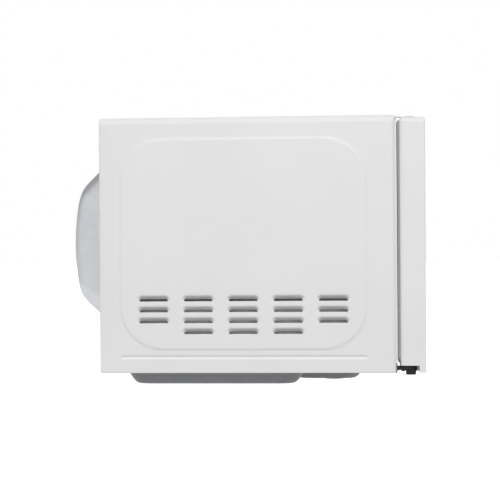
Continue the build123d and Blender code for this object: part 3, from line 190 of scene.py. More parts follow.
# The door screen: black steel pierced by rows of small round holes, each row shifted by half a pitch.
def makePiercedSteel(name, look):
    finish, tree, shader, place = startFinish(name)
    axes = tree.nodes.new("ShaderNodeSeparateXYZ")
    tree.links.new(place, axes.inputs["Vector"])

    def calc(operation, a, b=None):
        node = tree.nodes.new("ShaderNodeMath")
        node.operation = operation
        for socket, value in zip(node.inputs, (a, b)):
            if isinstance(value, (int, float)):
                socket.default_value = value
            elif value is not None:
                tree.links.new(value, socket)
        return node.outputs["Value"]

    row = calc("DIVIDE", axes.outputs["Z"], look["pitch"] * math.sqrt(0.75))
    shift = calc("MULTIPLY", calc("MODULO", calc("FLOOR", row), 2), 0.5)
    column = calc("ADD", calc("DIVIDE", axes.outputs["X"], look["pitch"]), shift)
    across = calc("SUBTRACT", calc("FRACT", column), 0.5)
    up = calc("MULTIPLY", calc("SUBTRACT", calc("FRACT", row), 0.5), math.sqrt(0.75))
    away = calc("SQRT", calc("ADD", calc("MULTIPLY", across, across), calc("MULTIPLY", up, up)))
    tree.links.new(calc("GREATER_THAN", away, look["hole"] / look["pitch"] / 2), shader.inputs["Alpha"])
    drift = noiseAt(tree, place, look["driftScale"])
    tree.links.new(twoTones(tree, drift, look["dark"], look["light"]), shader.inputs["Base Color"])
    shader.inputs["Roughness"].default_value = look["roughness"]
    return finish


screenLook = {"pitch": 2.6 * mm, "hole": 1.7 * mm, "dark": (0.010, 0.010, 0.011),
              "light": (0.020, 0.020, 0.021), "driftScale": 90.0, "roughness": 0.5}

finishes = {
    "white_steel": makeFinish("powderCoat", powderLook),
    "zinc_steel": makeZincSheet("zincSheet", zincLook),
    "cavity_enamel": makeFinish("cavityEnamel", enamelLook),
    "black_steel": makeFinish("blackSteel", blackSteelLook),
    "screw_steel": makeFinish("brightZinc", brightZincLook),
    "white_plastic": makeFinish("whiteMoulding", mouldedLook),
    "grey_plastic": makeFinish("greyMoulding", greyMouldLook),
    "black_plastic": makeFinish("blackMoulding", blackMouldLook),
    "dark_glass": makeGlass("smokedGlass", smokedLook),
    "clear_glass": makeGlass("clearGlass", clearLook),
    "mica": makeFinish("micaSheet", micaLook),
    "fin_aluminium": makeFinish("finAluminium", finLook),
    "magnet_grey": makeFinish("ferriteGrey", ferriteLook),
    "coil_copper": makeFinish("varnishedWinding", windingLook),
    "circuit_board": makeFinish("circuitBoard", boardLook),
    "foot_rubber": makeFinish("footRubber", rubberLook),
}
piercedSteel = makePiercedSteel("piercedSteel", screenLook)
slotOf = {part["node"]: part["material_slot"] for part in frame["record"]["subparts"]}
for node, piece in frame["nodes"].items():
    piece.data.materials.clear()
    piece.data.materials.append(finishes[slotOf[node]])
frame["nodes"]["door_screen"].data.materials[0] = piercedSteel
print("finishes made:", len(finishes) + 1)


# Evenly spaced lines from stop to stop, none further apart than the step.
def linesThrough(stops, step):
    lines = []
    for low, high in zip(stops, stops[1:]):
        count = max(1, math.ceil((high - low) / step - 1e-6))
        lines += [low + (high - low) * i / count for i in range(count)]
    return lines + [stops[-1]]


# All the lines in order, without those that fall on one before them.
def mergeLines(*groups, closest=0.05 * mm):
    lines = sorted(value for group in groups for value in group)
    kept = [lines[0]]
    for value in lines[1:]:
        if value - kept[-1] > closest:
            kept.append(value)
    return np.array(kept)


# Lines through the stops, with its own step for each band between two of them.
def bandLines(stops, steps):
    bands = zip(stops, stops[1:], steps)
    return mergeLines(*[linesThrough([low, high], step) for low, high, step in bands])


def ease(share):
    share = np.clip(share, 0, 1)
    return share * share * (3 - 2 * share)


# A slope that starts softly over the given bend and then runs straight.
def softStart(share, bend):
    run = np.where(share < bend, share * share / (2 * bend), share - bend / 2)
    return run / (1 - bend / 2)


# How far a point lies inside a rounded rectangle; negative outside.
def insideOf(a, b, middle, half, corner):
    qa = np.abs(a - middle[0]) - (half[0] - corner)
    qb = np.abs(b - middle[1]) - (half[1] - corner)
    outer = np.hypot(np.maximum(qa, 0), np.maximum(qb, 0))
    return corner - outer - np.minimum(np.maximum(qa, qb), 0)


# A piece from its points and faces: flat faces, or smooth ones with crisp edges from the given angle.
def meshPiece(name, points, faces, crispFrom=None):
    mesh = bpy.data.meshes.new(name)
    mesh.from_pydata(points, [], faces)
    mesh.update()
    if crispFrom is not None:
        mesh.shade_smooth()
        mesh.set_sharp_from_angle(angle=math.radians(crispFrom))
    piece = bpy.data.objects.new(name, mesh)
    bpy.context.collection.objects.link(piece)
    return piece


# A sheet from a grid of points; cut is true on the grid cells to leave open.
def sheetMesh(name, points, cut, thickness, crispFrom=38):
    rows, columns = points.shape[:2]
    index = np.arange(rows * columns).reshape(rows, columns)
    corners = np.stack([index[:-1, :-1], index[1:, :-1], index[1:, 1:], index[:-1, 1:]], axis=-1)
    piece = meshPiece(name, points.reshape(-1, 3).tolist(), corners[~cut].tolist(), crispFrom)
    solid = piece.modifiers.new("sheet", "SOLIDIFY")
    solid.thickness = thickness
    solid.offset = -1.0  # the points are the outer face
    return piece


# The piece rides on its body and stands for one node, in that node's finish.
def finishPiece(piece, body, node):
    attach(piece, body)
    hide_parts(node)
    piece.data.materials.append(finishes[slotOf[node]])
    return piece


# The case: one sheet wrapped over both sides and the top, turned in at the back.
case = {"sheet": 0.8 * mm, "corner": 6.5 * mm, "flange": 8.8 * mm, "rearBend": 1.6 * mm,
        "fieldHeight": 0.8 * mm, "fieldSlope": 1.1 * mm, "fieldCorner": 42 * mm, "fieldFront": 26.5 * mm,
        "fieldRear": 20 * mm, "fieldBottom": 21.9 * mm, "fieldTop": 20.5 * mm,
        "beadHeight": 15.2 * mm, "beadWidth": 4.2 * mm, "beadDepth": 0.9 * mm,
        "louverLength": 33 * mm, "louverHeight": 6.6 * mm, "louverSlot": 1.7 * mm,
        "louverDepth": 4.4 * mm, "louverEnd": 5.2 * mm, "louverBend": 0.4, "louverOpen": 0.62,
        "louverPitchY": 43.05 * mm, "louverPitchZ": 10.45 * mm, "louverTop": 68.6 * mm,
        "louverRows": (3, 4, 4, 4, 3)}

# How finely the case's sheet is divided: short steps where it is pressed, long ones where it is flat.
caseGrid = {"bead": 0.7 * mm, "edge": 0.8 * mm, "up": 6 * mm, "along": 4 * mm, "shoulder": 2 * mm,
            "hood": 0.7 * mm, "hoodEnd": 0.75 * mm, "hoodAlong": 5 * mm, "gapUp": 0.4 * mm,
            "gapAlong": 0.3 * mm, "margin": 1 * mm, "beadMargin": 4 * mm, "cornerMargin": 8 * mm,
            "rearBend": 7, "corner": 13, "top": 40}


def caseLouvers(low, high):
    middle = (low[1] + case["fieldFront"] + high[1] - case["fieldRear"]) / 2
    central = (len(case["louverRows"]) - 1) // 2
    return [(middle + (central - column) * case["louverPitchY"],
             low[2] + case["louverTop"] - row * case["louverPitchZ"])
            for column, rows in enumerate(case["louverRows"]) for row in range(rows)]


# How far the side sheet stands out at (y, z): the raised field, the bead and the louvers.
def caseSideRelief(y, z, low, high, louvers):
    middle = ((low[1] + case["fieldFront"] + high[1] - case["fieldRear"]) / 2,
              (low[2] + case["fieldBottom"] + high[2] - case["fieldTop"]) / 2)
    half = ((high[1] - low[1] - case["fieldFront"] - case["fieldRear"]) / 2,
            (high[2] - low[2] - case["fieldBottom"] - case["fieldTop"]) / 2)
    field = insideOf(y, z, middle, half, case["fieldCorner"])
    relief = case["fieldHeight"] * ease(field / case["fieldSlope"])
    beadHalf = (half[0], case["beadWidth"] / 2)
    bead = insideOf(y, z, (middle[0], low[2] + case["beadHeight"]), beadHalf, beadHalf[1])
    relief = relief - case["beadDepth"] * ease(2 * bead / case["beadWidth"])
    for louverY, louverZ in louvers:
        tall = 40 * mm  # the pressing's outline runs on below the slot, so only its upper corners are round
        inside = insideOf(y, z, (louverY, louverZ + case["louverHeight"] - tall / 2),
                          (case["louverLength"] / 2, tall / 2), case["louverEnd"])
        share = np.clip(inside / (case["louverHeight"] - case["louverSlot"]), 0, None)
        hood = np.clip(softStart(share, case["louverBend"]), 0, 1)
        relief = relief - case["louverDepth"] * np.where(z > louverZ + 0.01 * mm, hood, 0)
    return relief


def buildCase():
    low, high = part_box("cabinet")
    louvers = caseLouvers(low, high)
    sideX = high[0] - case["fieldHeight"]
    corner = case["corner"]
    edge, along, margin = caseGrid["edge"], caseGrid["along"], caseGrid["margin"]
    zStops = [low[2], low[2] + case["beadHeight"] + caseGrid["beadMargin"],
              low[2] + case["fieldBottom"] + case["fieldCorner"] + caseGrid["cornerMargin"],
              high[2] - case["fieldTop"] - case["fieldCorner"], high[2] - case["fieldTop"] + margin,
              high[2] - corner]
    zLines = bandLines(zStops, (caseGrid["bead"], edge, caseGrid["up"], edge, caseGrid["shoulder"]))
    for louverZ in sorted({z for _, z in louvers}):
        hood = linesThrough([louverZ + case["louverSlot"], louverZ + case["louverHeight"]],
                            caseGrid["hood"])
        zLines = zLines[(zLines < louverZ - caseGrid["gapUp"]) | (zLines > hood[-1] + caseGrid["gapUp"])]
        zLines = mergeLines(zLines, [louverZ], hood)
    front, rear = low[1] + case["fieldFront"], high[1] - case["fieldRear"]
    yStops = [low[1], front - margin, front + case["fieldCorner"], rear - case["fieldCorner"],
              rear + margin, high[1] - case["rearBend"]]
    yLines = bandLines(yStops, (along, edge, along, edge, along))
    for louverY in sorted({y for y, _ in louvers}):
        half = case["louverLength"] / 2
        yLines = yLines[np.abs(yLines - louverY) > half + caseGrid["gapAlong"]]
        ends = linesThrough([half - case["louverEnd"], half], caseGrid["hoodEnd"])
        yLines = mergeLines(yLines, [louverY + e for e in ends], [louverY - e for e in ends],
                            linesThrough([louverY - ends[0], louverY + ends[0]], caseGrid["hoodAlong"]))
    bend = np.radians(np.linspace(0, 90, caseGrid["rearBend"])[1:])  # the rear bend and flange
    yAll = np.concatenate([yLines, high[1] - case["rearBend"] * (1 - np.sin(bend)), [high[1]]])
    inset = np.concatenate([0 * yLines, case["rearBend"] * (1 - np.cos(bend)), [case["flange"]]])
    arc = np.radians(np.linspace(0, 90, caseGrid["corner"])[1:-1])
    topX = np.linspace(-sideX + corner, sideX - corner, caseGrid["top"])
    rise = high[2] - corner
    profile = [(-sideX, z, -1, 0) for z in zLines]
    profile += [(-sideX + corner - corner * math.cos(a), rise + corner * math.sin(a),
                 -math.cos(a), math.sin(a)) for a in arc]
    profile += [(x, high[2], 0, 1) for x in topX]
    profile += [(-x, z, -nx, nz) for x, z, nx, nz in reversed(profile[:len(zLines) + len(arc)])]
    x, z, nx, nz = np.array(profile).T[:, :, None]
    y = yAll[None, :]
    relief = np.zeros((len(profile), len(yAll)))
    onSide = np.abs(nz[:, 0]) < 1e-9
    flat = len(yLines)
    relief[onSide, :flat] = caseSideRelief(y[:, :flat], z[onSide], low, high, louvers)
    points = np.stack([x + nx * (relief - inset), y + 0 * x, z + nz * (relief - inset)], axis=-1)
    midZ = (z[:-1] + z[1:]) / 2
    midY = (y[:, :-1] + y[:, 1:]) / 2
    cut = np.zeros((len(profile) - 1, len(yAll) - 1), dtype=bool)
    for louverY, louverZ in louvers:
        inRow = (midZ > louverZ) & (midZ < louverZ + case["louverSlot"]) & onSide[:-1, None]
        reach = case["louverLength"] / 2 - case["louverOpen"] * case["louverEnd"]
        cut |= inRow & (np.abs(midY - louverY) < reach)
    piece = sheetMesh("caseWrap", points, cut, case["sheet"])
    return finishPiece(piece, "oven", "cabinet")


buildCase()
print("case built")

# The back panel: a flat sheet with a crowned bulge for the turntable, two vent fields and a cord hole.
back = {"sheet": 0.8 * mm, "corner": 5.7 * mm, "middle": (162.9 * mm, 123.7 * mm),
        "halfWidth": 137.35 * mm, "halfHeight": 76.65 * mm, "topRaise": 1.2 * mm,
        "slope": 1.235, "crown": 210 * mm, "crownRound": 6 * mm,
        "shoulderRound": 17 * mm, "footRound": 1.6 * mm, "facetDrop": 22.5 * mm, "facetLean": 1.32,
        "facetRound": 1.2 * mm, "fanVent": (378.6 * mm, 83.2 * mm), "fanReach": 41 * mm,
        "fanPitch": (13 * mm, 8.5 * mm), "fanSlot": (9 * mm, 4 * mm), "ventRise": 209.7 * mm,
        "ventPitch": (22 * mm, 8 * mm), "ventSlot": (15 * mm, 3.5 * mm),
        "cordHole": (416.8 * mm, 23.2 * mm), "cordSize": (15.4 * mm, 12.4 * mm),
        "flatStep": 6 * mm, "bulgeStep": 1.7 * mm, "bulgeMargin": 4 * mm, "slotGap": 0.75 * mm}


# The smaller of two heights, blended where they come within the given reach of each other.
def softLower(a, b, reach):
    share = np.clip(1 - np.abs(a - b) / reach, 0, None)
    return np.minimum(a, b) - share * share * reach / 4


def bulgeHeight(across, up, tip):
    side = np.abs(across)
    wallUp = (back["halfHeight"] + back["topRaise"] * (up > 0) - np.abs(up)) * back["slope"]
    wallSide = (back["halfWidth"] - side) * back["slope"]
    crown = tip - back["crown"] + np.sqrt(back["crown"] ** 2 - np.minimum(np.abs(up), 100 * mm) ** 2)
    facetFoot = back["halfHeight"] - back["facetDrop"]
    facet = back["sheet"] + (up + facetFoot + back["halfWidth"] - side) / back["facetLean"]
    shoulder = np.where(up > 0, back["shoulderRound"], back["crownRound"])
    walls = softLower(wallUp, wallSide, shoulder)
    height = softLower(softLower(walls, crown, back["crownRound"]), facet, back["facetRound"])
    return -softLower(-height, 0 * height, back["footRound"])


def backSlots():
    slots = []
    for i in range(-3, 4):
        for k in range(-4, 5):
            across, up = i * back["fanPitch"][0], k * back["fanPitch"][1]
            if math.hypot(across, up) < back["fanReach"]:
                slots.append((back["fanVent"][0] + across, back["fanVent"][1] + up, *back["fanSlot"]))
    for i in range(-4, 5):
        for k in (0, 1):
            across, up = i * back["ventPitch"][0], k * back["ventPitch"][1]
            slots.append((back["middle"][0] + across, back["ventRise"] + up, *back["ventSlot"]))
    slots.append((*back["cordHole"], *back["cordSize"]))
    return slots


def buildBack():
    low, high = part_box("back_panel")
    middle = (low[0] + back["middle"][0], low[2] + back["middle"][1])
    slots = [(low[0] + a, low[2] + b, w, h) for a, b, w, h in backSlots()]
    lines = []
    for axis, half in ((0, back["halfWidth"]), (2, back["halfHeight"])):
        centre = middle[axis // 2]
        margin = back["bulgeMargin"]
        stops = [low[axis], centre - half - margin, centre + half + margin, high[axis]]
        group = bandLines(stops, (back["flatStep"], back["bulgeStep"], back["flatStep"]))
        edges = sorted({round(slot[axis // 2] + sign * slot[2 + axis // 2] / 2, 7)
                        for slot in slots for sign in (-1, 1)})
        for edge in edges:
            group = group[np.abs(group - edge) > back["slotGap"]]
        lines.append(mergeLines(group, edges))
    x, z = lines[0][None, :], lines[1][:, None]
    tip = high[1] - low[1] - back["sheet"]
    y = low[1] + back["sheet"] + bulgeHeight(x - middle[0], z - middle[1], tip)
    xAll, zAll = x + 0 * z, z + 0 * x
    corner = back["corner"]
    offX = np.abs(xAll) - (high[0] - corner)  # both top corners follow the case's bend
    offZ = zAll - (high[2] - corner)
    reach = np.hypot(offX, offZ)
    pull = np.where((offX > 0) & (offZ > 0) & (reach > corner), corner / np.maximum(reach, 1e-9), 1)
    xAll = np.where(pull < 1, np.sign(xAll) * (high[0] - corner + offX * pull), xAll)
    zAll = np.where(pull < 1, high[2] - corner + offZ * pull, zAll)
    points = np.stack([xAll, y, zAll], axis=-1)
    midX, midZ = (x[:, :-1] + x[:, 1:]) / 2, (z[:-1] + z[1:]) / 2
    cut = np.zeros((len(lines[1]) - 1, len(lines[0]) - 1), dtype=bool)
    for a, b, w, h in slots:
        cut |= (np.abs(midX - a) < w / 2) & (np.abs(midZ - b) < h / 2)
    return finishPiece(sheetMesh("backSheet", points, cut, back["sheet"]), "oven", "back_panel")


buildBack()
print("back panel built")

# The pan under the oven: a flat sheet with one soft-edged well, wide at the rear and narrow at the front.
pan = {"sheet": 0.8 * mm, "flange": 9 * mm, "slope": 8.24 * mm, "bottomRound": 0.9, "corner": 24 * mm,
       "wideSide": 19.2 * mm, "wideFront": 89.2 * mm, "wideRear": 18.8 * mm,
       "narrowSide": 87.2 * mm, "narrowFront": 31.2 * mm, "narrowEnd": 109.2 * mm,
       "ventFromRight": 49.2 * mm, "ventFromFront": 141.2 * mm, "ventCount": (7, 2),
       "ventPitch": (10 * mm, 36 * mm), "ventSize": (4 * mm, 26 * mm), "ventGap": 0.8 * mm,
       "ventStep": 6 * mm, "flatStep": 7 * mm, "slopeStep": 1.6 * mm}


def panDepth(x, y, low, high):
    inside = []
    for side, front, rear in (("wideSide", low[1] + pan["wideFront"], high[1] - pan["wideRear"]),
                              ("narrowSide", low[1] + pan["narrowFront"], low[1] + pan["narrowEnd"])):
        middle = ((low[0] + high[0]) / 2, (front + rear) / 2)
        half = ((high[0] - low[0]) / 2 - pan[side], (rear - front) / 2)
        inside.append(insideOf(x, y, middle, half, pan["corner"]) / pan["slope"])
    fall = np.clip(np.maximum(*inside), 0, None)
    soft = pan["bottomRound"]
    start = 1 - soft / 2
    past = np.clip(fall - start, 0, soft)
    return np.minimum(fall, start) + past - past * past / (2 * soft)


def buildPan():
    low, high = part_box("base_plate")
    drop = high[2] - low[2] - pan["flange"]
    ventX = [high[0] - pan["ventFromRight"] + (i - (pan["ventCount"][0] - 1) / 2) * pan["ventPitch"][0]
             for i in range(pan["ventCount"][0])]
    ventY = [low[1] + pan["ventFromFront"] + (i - (pan["ventCount"][1] - 1) / 2) * pan["ventPitch"][1]
             for i in range(pan["ventCount"][1])]
    halfX, halfY = pan["ventSize"][0] / 2, pan["ventSize"][1] / 2
    steps = (pan["flatStep"], pan["slopeStep"]) * 5  # flat and sloping bands take turns
    run = pan["corner"]
    inward = [pan["wideSide"], pan["wideSide"] + run, pan["narrowSide"], pan["narrowSide"] + run]
    xStops = [low[0]] + [low[0] + stop for stop in inward]
    xStops += [high[0] - stop for stop in reversed(inward)] + [high[0]]
    xLines = bandLines(xStops, steps)
    yStops = [low[1], low[1] + pan["narrowFront"], low[1] + pan["narrowFront"] + run,
              low[1] + pan["wideFront"], low[1] + pan["wideFront"] + run,
              high[1] - pan["wideRear"] - run, high[1] - pan["wideRear"], high[1]]
    yLines = bandLines(yStops, steps)
    for spot in ventX:
        xLines = xLines[np.abs(xLines - spot) > halfX + pan["ventGap"]]
        xLines = mergeLines(xLines, [spot - halfX, spot + halfX])
    for spot in ventY:
        yLines = yLines[np.abs(yLines - spot) > halfY + pan["ventGap"]]
        yLines = mergeLines(yLines, linesThrough([spot - halfY, spot + halfY], pan["ventStep"]))
    xAll = np.concatenate([[high[0]], xLines[::-1], [low[0]]])[:, None]
    y = yLines[None, :]
    z = high[2] - pan["flange"] - drop * panDepth(xAll, y, low, high)
    z[[0, -1], :] = high[2]
    points = np.stack([xAll + 0 * y, y + 0 * xAll, z], axis=-1)
    midX = (xAll[:-1] + xAll[1:]) / 2
    midY = (y[:, :-1] + y[:, 1:]) / 2
    cut = np.zeros((len(xAll) - 1, len(yLines) - 1), dtype=bool)
    for spotX in ventX:
        for spotY in ventY:
            cut |= (np.abs(midX - spotX) < halfX) & (np.abs(midY - spotY) < halfY)
    piece = finishPiece(sheetMesh("basePan", points, cut, pan["sheet"]), "oven", "base_plate")
    # the pan wears the darker zinc copy: painted shade under the oven, on the same sheet as the back panel
    piece.data.materials[0] = makeZincSheet("zincPaintedShade", zincPaintedShadeLook)
    return piece


buildPan()
print("base pan built")


# Once round a rounded rectangle, as (across, up) points.
def roundedOutline(half, corner, steps=6):
    outline = []
    for quarter, (sideX, sideZ) in enumerate(((1, 1), (-1, 1), (-1, -1), (1, -1))):
        for step in range(steps + 1):
            turn = math.radians(90 * (quarter + step / steps))
            outline.append((sideX * (half[0] - corner) + corner * math.cos(turn),
                            sideZ * (half[1] - corner) + corner * math.sin(turn)))
    return outline


# A moulded key: straight sides, a rounded rim and a shallow dish for the fingertip.
key = {"corner": 2.2 * mm, "rim": 0.9 * mm, "rimTurns": (0, 18, 36, 54, 72, 90), "dish": 0.42 * mm,
       "dishRings": (0.93, 0.84, 0.74, 0.62, 0.5, 0.36, 0.2), "crispFrom": 50, "markLine": 0.2 * mm,
       "markSize": 4.0 * mm}


def dishAt(share):
    return key["dish"] * (1 - np.clip(share, 0, 1) ** 2)


def buildKey(node):
    low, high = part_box(node)
    middle = ((low[0] + high[0]) / 2, (low[2] + high[2]) / 2)
    half = ((high[0] - low[0]) / 2, (high[2] - low[2]) / 2)
    rim = key["rim"]
    rings = [(0, 1, high[1]), (0, 1, (low[1] + high[1]) / 2)]
    rings += [(rim * (1 - math.cos(math.radians(a))), 1, low[1] + rim * (1 - math.sin(math.radians(a))))
              for a in key["rimTurns"]]
    rings += [(rim, share, low[1] + dishAt(share)) for share in key["dishRings"]]
    points, faces = [], []
    for inset, share, y in rings:
        ring = roundedOutline((half[0] - inset, half[1] - inset), key["corner"] - inset)
        points += [(middle[0] + share * a, y, middle[1] + share * b) for a, b in ring]
    count = len(points) // len(rings)
    for ring in range(len(rings) - 1):
        for i in range(count):
            a, b = ring * count + i, ring * count + (i + 1) % count
            faces.append((a, b, b + count, a + count))
    faces.append(tuple(range(len(points) - count, len(points))))
    faces.append(tuple(range(count - 1, -1, -1)))
    return finishPiece(meshPiece(node + "Cap", points, faces, key["crispFrom"]), node + "_cap", node)


def ringLine(radius, low=0, high=360, middle=(0, 0)):
    turns = np.radians(np.linspace(low, high, 33))
    return [(middle[0] + radius * math.sin(turn), middle[1] + radius * math.cos(turn)) for turn in turns]


def waveLine(height, swing=0.16, waves=5.2, reach=0.85):
    return [(x, height + swing * math.sin(x * waves)) for x in np.linspace(-reach, reach, 25)]


# Six spokes, each with a barb on either side.
def frostLines(barbFrom=0.55, barbTo=0.85, barbTurn=0.35):
    lines = []
    for turn in (0, 60, 120, 180, 240, 300):
        a = math.radians(turn)
        tip = (math.sin(a), math.cos(a))
        lines.append([(0, 0), tip])
        for aside in (a - barbTurn, a + barbTurn):
            lines.append([(barbFrom * tip[0], barbFrom * tip[1]),
                          (barbTo * math.sin(aside), barbTo * math.cos(aside))])
    return lines


# Plain symbols on the keys, each a few lines in a square from -1 to 1.
keyMarks = {"power_key": [waveLine(0.55), waveLine(0), waveLine(-0.55)],
            "timer_key": [ringLine(0.78, middle=(0, -0.15)), [(0, -0.15), (0, 0.35)],
                          [(-0.25, 0.95), (0.25, 0.95)]],
            "defrost_key": frostLines(),
            "clock_key": [ringLine(0.9), [(0, 0.6), (0, 0), (0.45, -0.25)]],
            "stop_key": [[(-0.7, -0.7), (0.7, -0.7), (0.7, 0.7), (-0.7, 0.7), (-0.7, -0.7)]],
            "start_key": [[(-0.55, -0.8), (-0.55, 0.8), (0.85, 0), (-0.55, -0.8)]]}
inkLook = {"dark": (0.085, 0.090, 0.100), "light": (0.115, 0.120, 0.130), "driftScale": 300.0,
           "roughness": (0.45, 0.55), "grainScale": 3000.0, "relief": 0.004 * mm}
keyInk = makeFinish("keyInk", inkLook)


def markKey(node, lines):
    low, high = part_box(node)
    middle = ((low[0] + high[0]) / 2, (low[2] + high[2]) / 2)
    half = ((high[0] - low[0]) / 2 - key["rim"], (high[2] - low[2]) / 2 - key["rim"])
    curve = bpy.data.curves.new(node + "Mark", "CURVE")
    curve.dimensions = "3D"
    curve.bevel_depth = key["markLine"]
    curve.bevel_resolution = 2
    curve.use_fill_caps = True
    for line in lines:
        spline = curve.splines.new("POLY")
        spline.points.add(len(line) - 1)
        for point, (a, b) in zip(spline.points, line):
            across, up = a * key["markSize"], b * key["markSize"]
            share = max(abs(across) / half[0], abs(up) / half[1])
            point.co = (middle[0] + across, low[1] + dishAt(share), middle[1] + up, 1)
    piece = bpy.data.objects.new(node + "Mark", curve)
    bpy.context.collection.objects.link(piece)
    curve.materials.append(keyInk)
    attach(piece, node + "_cap")


for node, lines in keyMarks.items():
    buildKey(node)
    markKey(node, lines)
print("keys built:", len(keyMarks))

# The clock behind the dark window: four seven-bar digits and two dots.
display = {"reads": "12:00", "spots": (-1.6, -0.6, 0, 0.6, 1.6), "digitPitch": 10.5 * mm,
           "digitHeight": 11.5 * mm, "digitWidth": 6.4 * mm, "bar": 1.25 * mm, "barGap": 0.25 * mm,
           "dotRise": 0.45, "lean": 0.1, "proud": 0.05 * mm, "depth": 0.25 * mm,
           "dark": (0.10, 0.55, 0.45), "light": (0.16, 0.70, 0.58), "driftScale": 400.0, "glow": 5.0}
barsOf = {"0": "abcdef", "1": "bc", "2": "abged", "3": "abgcd", "4": "fgbc",
          "5": "afgcd", "6": "afgedc", "7": "abc", "8": "abcdefg", "9": "abcdfg"}
barPlaces = {"a": (0, 1, 0), "b": (1, 0.5, 1), "c": (1, -0.5, 1), "d": (0, -1, 0),
             "e": (-1, -0.5, 1), "f": (-1, 0.5, 1), "g": (0, 0, 0)}  # across, up, upright


def buildDigits():
    low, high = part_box("display_module")
    middle = ((low[0] + high[0]) / 2, (low[2] + high[2]) / 2)
    outlines = []
    reach = (display["digitWidth"] / 2, display["digitHeight"] / 2)
    thick = display["bar"] / 2
    for spot, sign in zip(display["spots"], display["reads"]):
        start = spot * display["digitPitch"]
        if sign == ":":
            for up in (-display["dotRise"], display["dotRise"]):
                dot = roundedOutline((thick, thick), display["bar"] / 2.01, 3)  # all but round
                outlines.append([(start + a, up * reach[1] + b) for a, b in dot])
            continue
        for name in barsOf[sign]:
            across, up, upright = barPlaces[name]
            length = (reach[1] if upright else 2 * reach[0]) / 2 - display["barGap"]
            bar = [(length, 0), (length - thick, thick), (-length + thick, thick)]
            bar += [(-a, -b) for a, b in bar]
            bar = [(-b, a) if upright else (a, b) for a, b in bar]
            outlines.append([(start + across * reach[0] + a, up * reach[1] + b) for a, b in bar])
    points, faces = [], []
    for outline in outlines:
        base = len(points)
        count = len(outline)
        for y in (low[1] - display["proud"], low[1] + display["depth"]):
            points += [(middle[0] + a + display["lean"] * b, y, middle[1] + b) for a, b in outline]
        faces.append(tuple(base + i for i in range(count)))
        faces.append(tuple(base + count + i for i in reversed(range(count))))
        for i in range(count):
            ahead = (i + 1) % count
            faces.append((base + ahead, base + i, base + count + i, base + count + ahead))
    piece = meshPiece("clockDigits", points, faces)
    finish, tree, shader, place = startFinish("clockGlow")
    drift = noiseAt(tree, place, display["driftScale"])
    glow = twoTones(tree, drift, display["dark"], display["light"])
    tree.links.new(glow, shader.inputs["Base Color"])
    tree.links.new(glow, shader.inputs["Emission Color"])
    shader.inputs["Emission Strength"].default_value = display["glow"]
    piece.data.materials.append(finish)
    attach(piece, "oven")


buildDigits()
print("display built")

# The latch spring: a coil that shortens as the latch bar lifts; here it is built at one fixed length.
spring = {"wire": 0.6 * mm, "turns": 7, "sides": 10, "stepsPerTurn": 24, "lift": 4 * mm, "clear": 0.3 * mm}


def buildSpring():
    low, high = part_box("latch_spring")
    middle = ((low[0] + high[0]) / 2, (low[1] + high[1]) / 2)
    wire = spring["wire"]
    radius = (high[0] - low[0]) / 2 - wire
    around, along = spring["sides"], spring["stepsPerTurn"] * spring["turns"]
    pitch = (high[2] - low[2] - 2 * wire) / spring["turns"]
    points, faces = [], []
    for i in range(along + 1):
        turn = math.radians(360 * spring["turns"] * i / along)
        out = np.array([math.cos(turn), math.sin(turn), 0])
        tangent = np.array([-math.sin(turn), math.cos(turn), pitch / (2 * math.pi * radius)])
        across = np.cross(tangent / np.linalg.norm(tangent), out)
        centre = np.array([middle[0], middle[1], low[2] + wire]) + radius * out
        centre[2] += pitch * spring["turns"] * i / along
        for j in range(around):
            a = 2 * math.pi * j / around
            points.append((centre + wire * (math.cos(a) * out + math.sin(a) * across)).tolist())
        if i:
            base = (i - 1) * around
            for j in range(around):
                ahead = (j + 1) % around
                faces.append((base + j, base + ahead, base + around + ahead, base + around + j))
    faces += [tuple(reversed(range(around))), tuple(range(len(points) - around, len(points)))]
    piece = finishPiece(meshPiece("latchCoil", points, faces, crispFrom=180), "door", "latch_spring")
    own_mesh(piece)


buildSpring()
print("latch spring built")

# Moulded and pressed edges of the pieces that come over from the frame are slightly rounded.
softEdges = {"door_frame": 0.45, "control_panel": 0.45, "door_button": 0.5, "front_plate": 0.25,
             "door_choke_cover": 0.4, "door_inner_panel": 0.3, "glass_tray": 0.3, "drive_coupler": 0.35,
             "roller_ring": 0.4, "upper_hinge": 0.2, "lower_hinge": 0.3, "feet": 0.4,
             "lamp_housing": 0.3, "fan_shroud": 0.4, "cord_gland": 0.4}  # widths in mm
for node, width in softEdges.items():
    edges = frame["nodes"][node].modifiers.new("softEdge", "BEVEL")
    edges.width = width * mm
    edges.segments = 2
    edges.limit_method = "ANGLE"
    edges.angle_limit = math.radians(40)
    edges.harden_normals = True
print("edges softened:", len(softEdges))


floorLook = {"dark": (0.86, 0.86, 0.86), "light": (0.88, 0.88, 0.88), "driftScale": 2.0,
             "roughness": (0.85, 0.9), "grainScale": 300.0, "relief": 0.002 * mm, "specular": 0.1,
             "glow": 1.0, "size": 60}


def addFloor():
    bpy.ops.mesh.primitive_grid_add(x_subdivisions=2, y_subdivisions=2, size=floorLook["size"])
    floor = bpy.context.object
    floor.name = "studioFloor"
    finish = makeFinish("studioFloor", floorLook)
    shader = finish.node_tree.nodes["Principled BSDF"]
    shader.inputs["Emission Color"].default_value = (1, 1, 1, 1)
    shader.inputs["Emission Strength"].default_value = floorLook["glow"]
    floor.data.materials.append(finish)
    floor.visible_diffuse = False  # the floor is seen and mirrored, but the room below lights the underside


addFloor()

# A pale room: white round the horizon, softer overhead and behind the oven, dim below.
room = {"below": 0.2, "level": 1.0, "zenith": 0.5, "belowUpTo": 0.45, "levelFrom": 0.475, "levelUpTo": 0.62,
        "behind": 0.45, "behindFrom": 0.3}


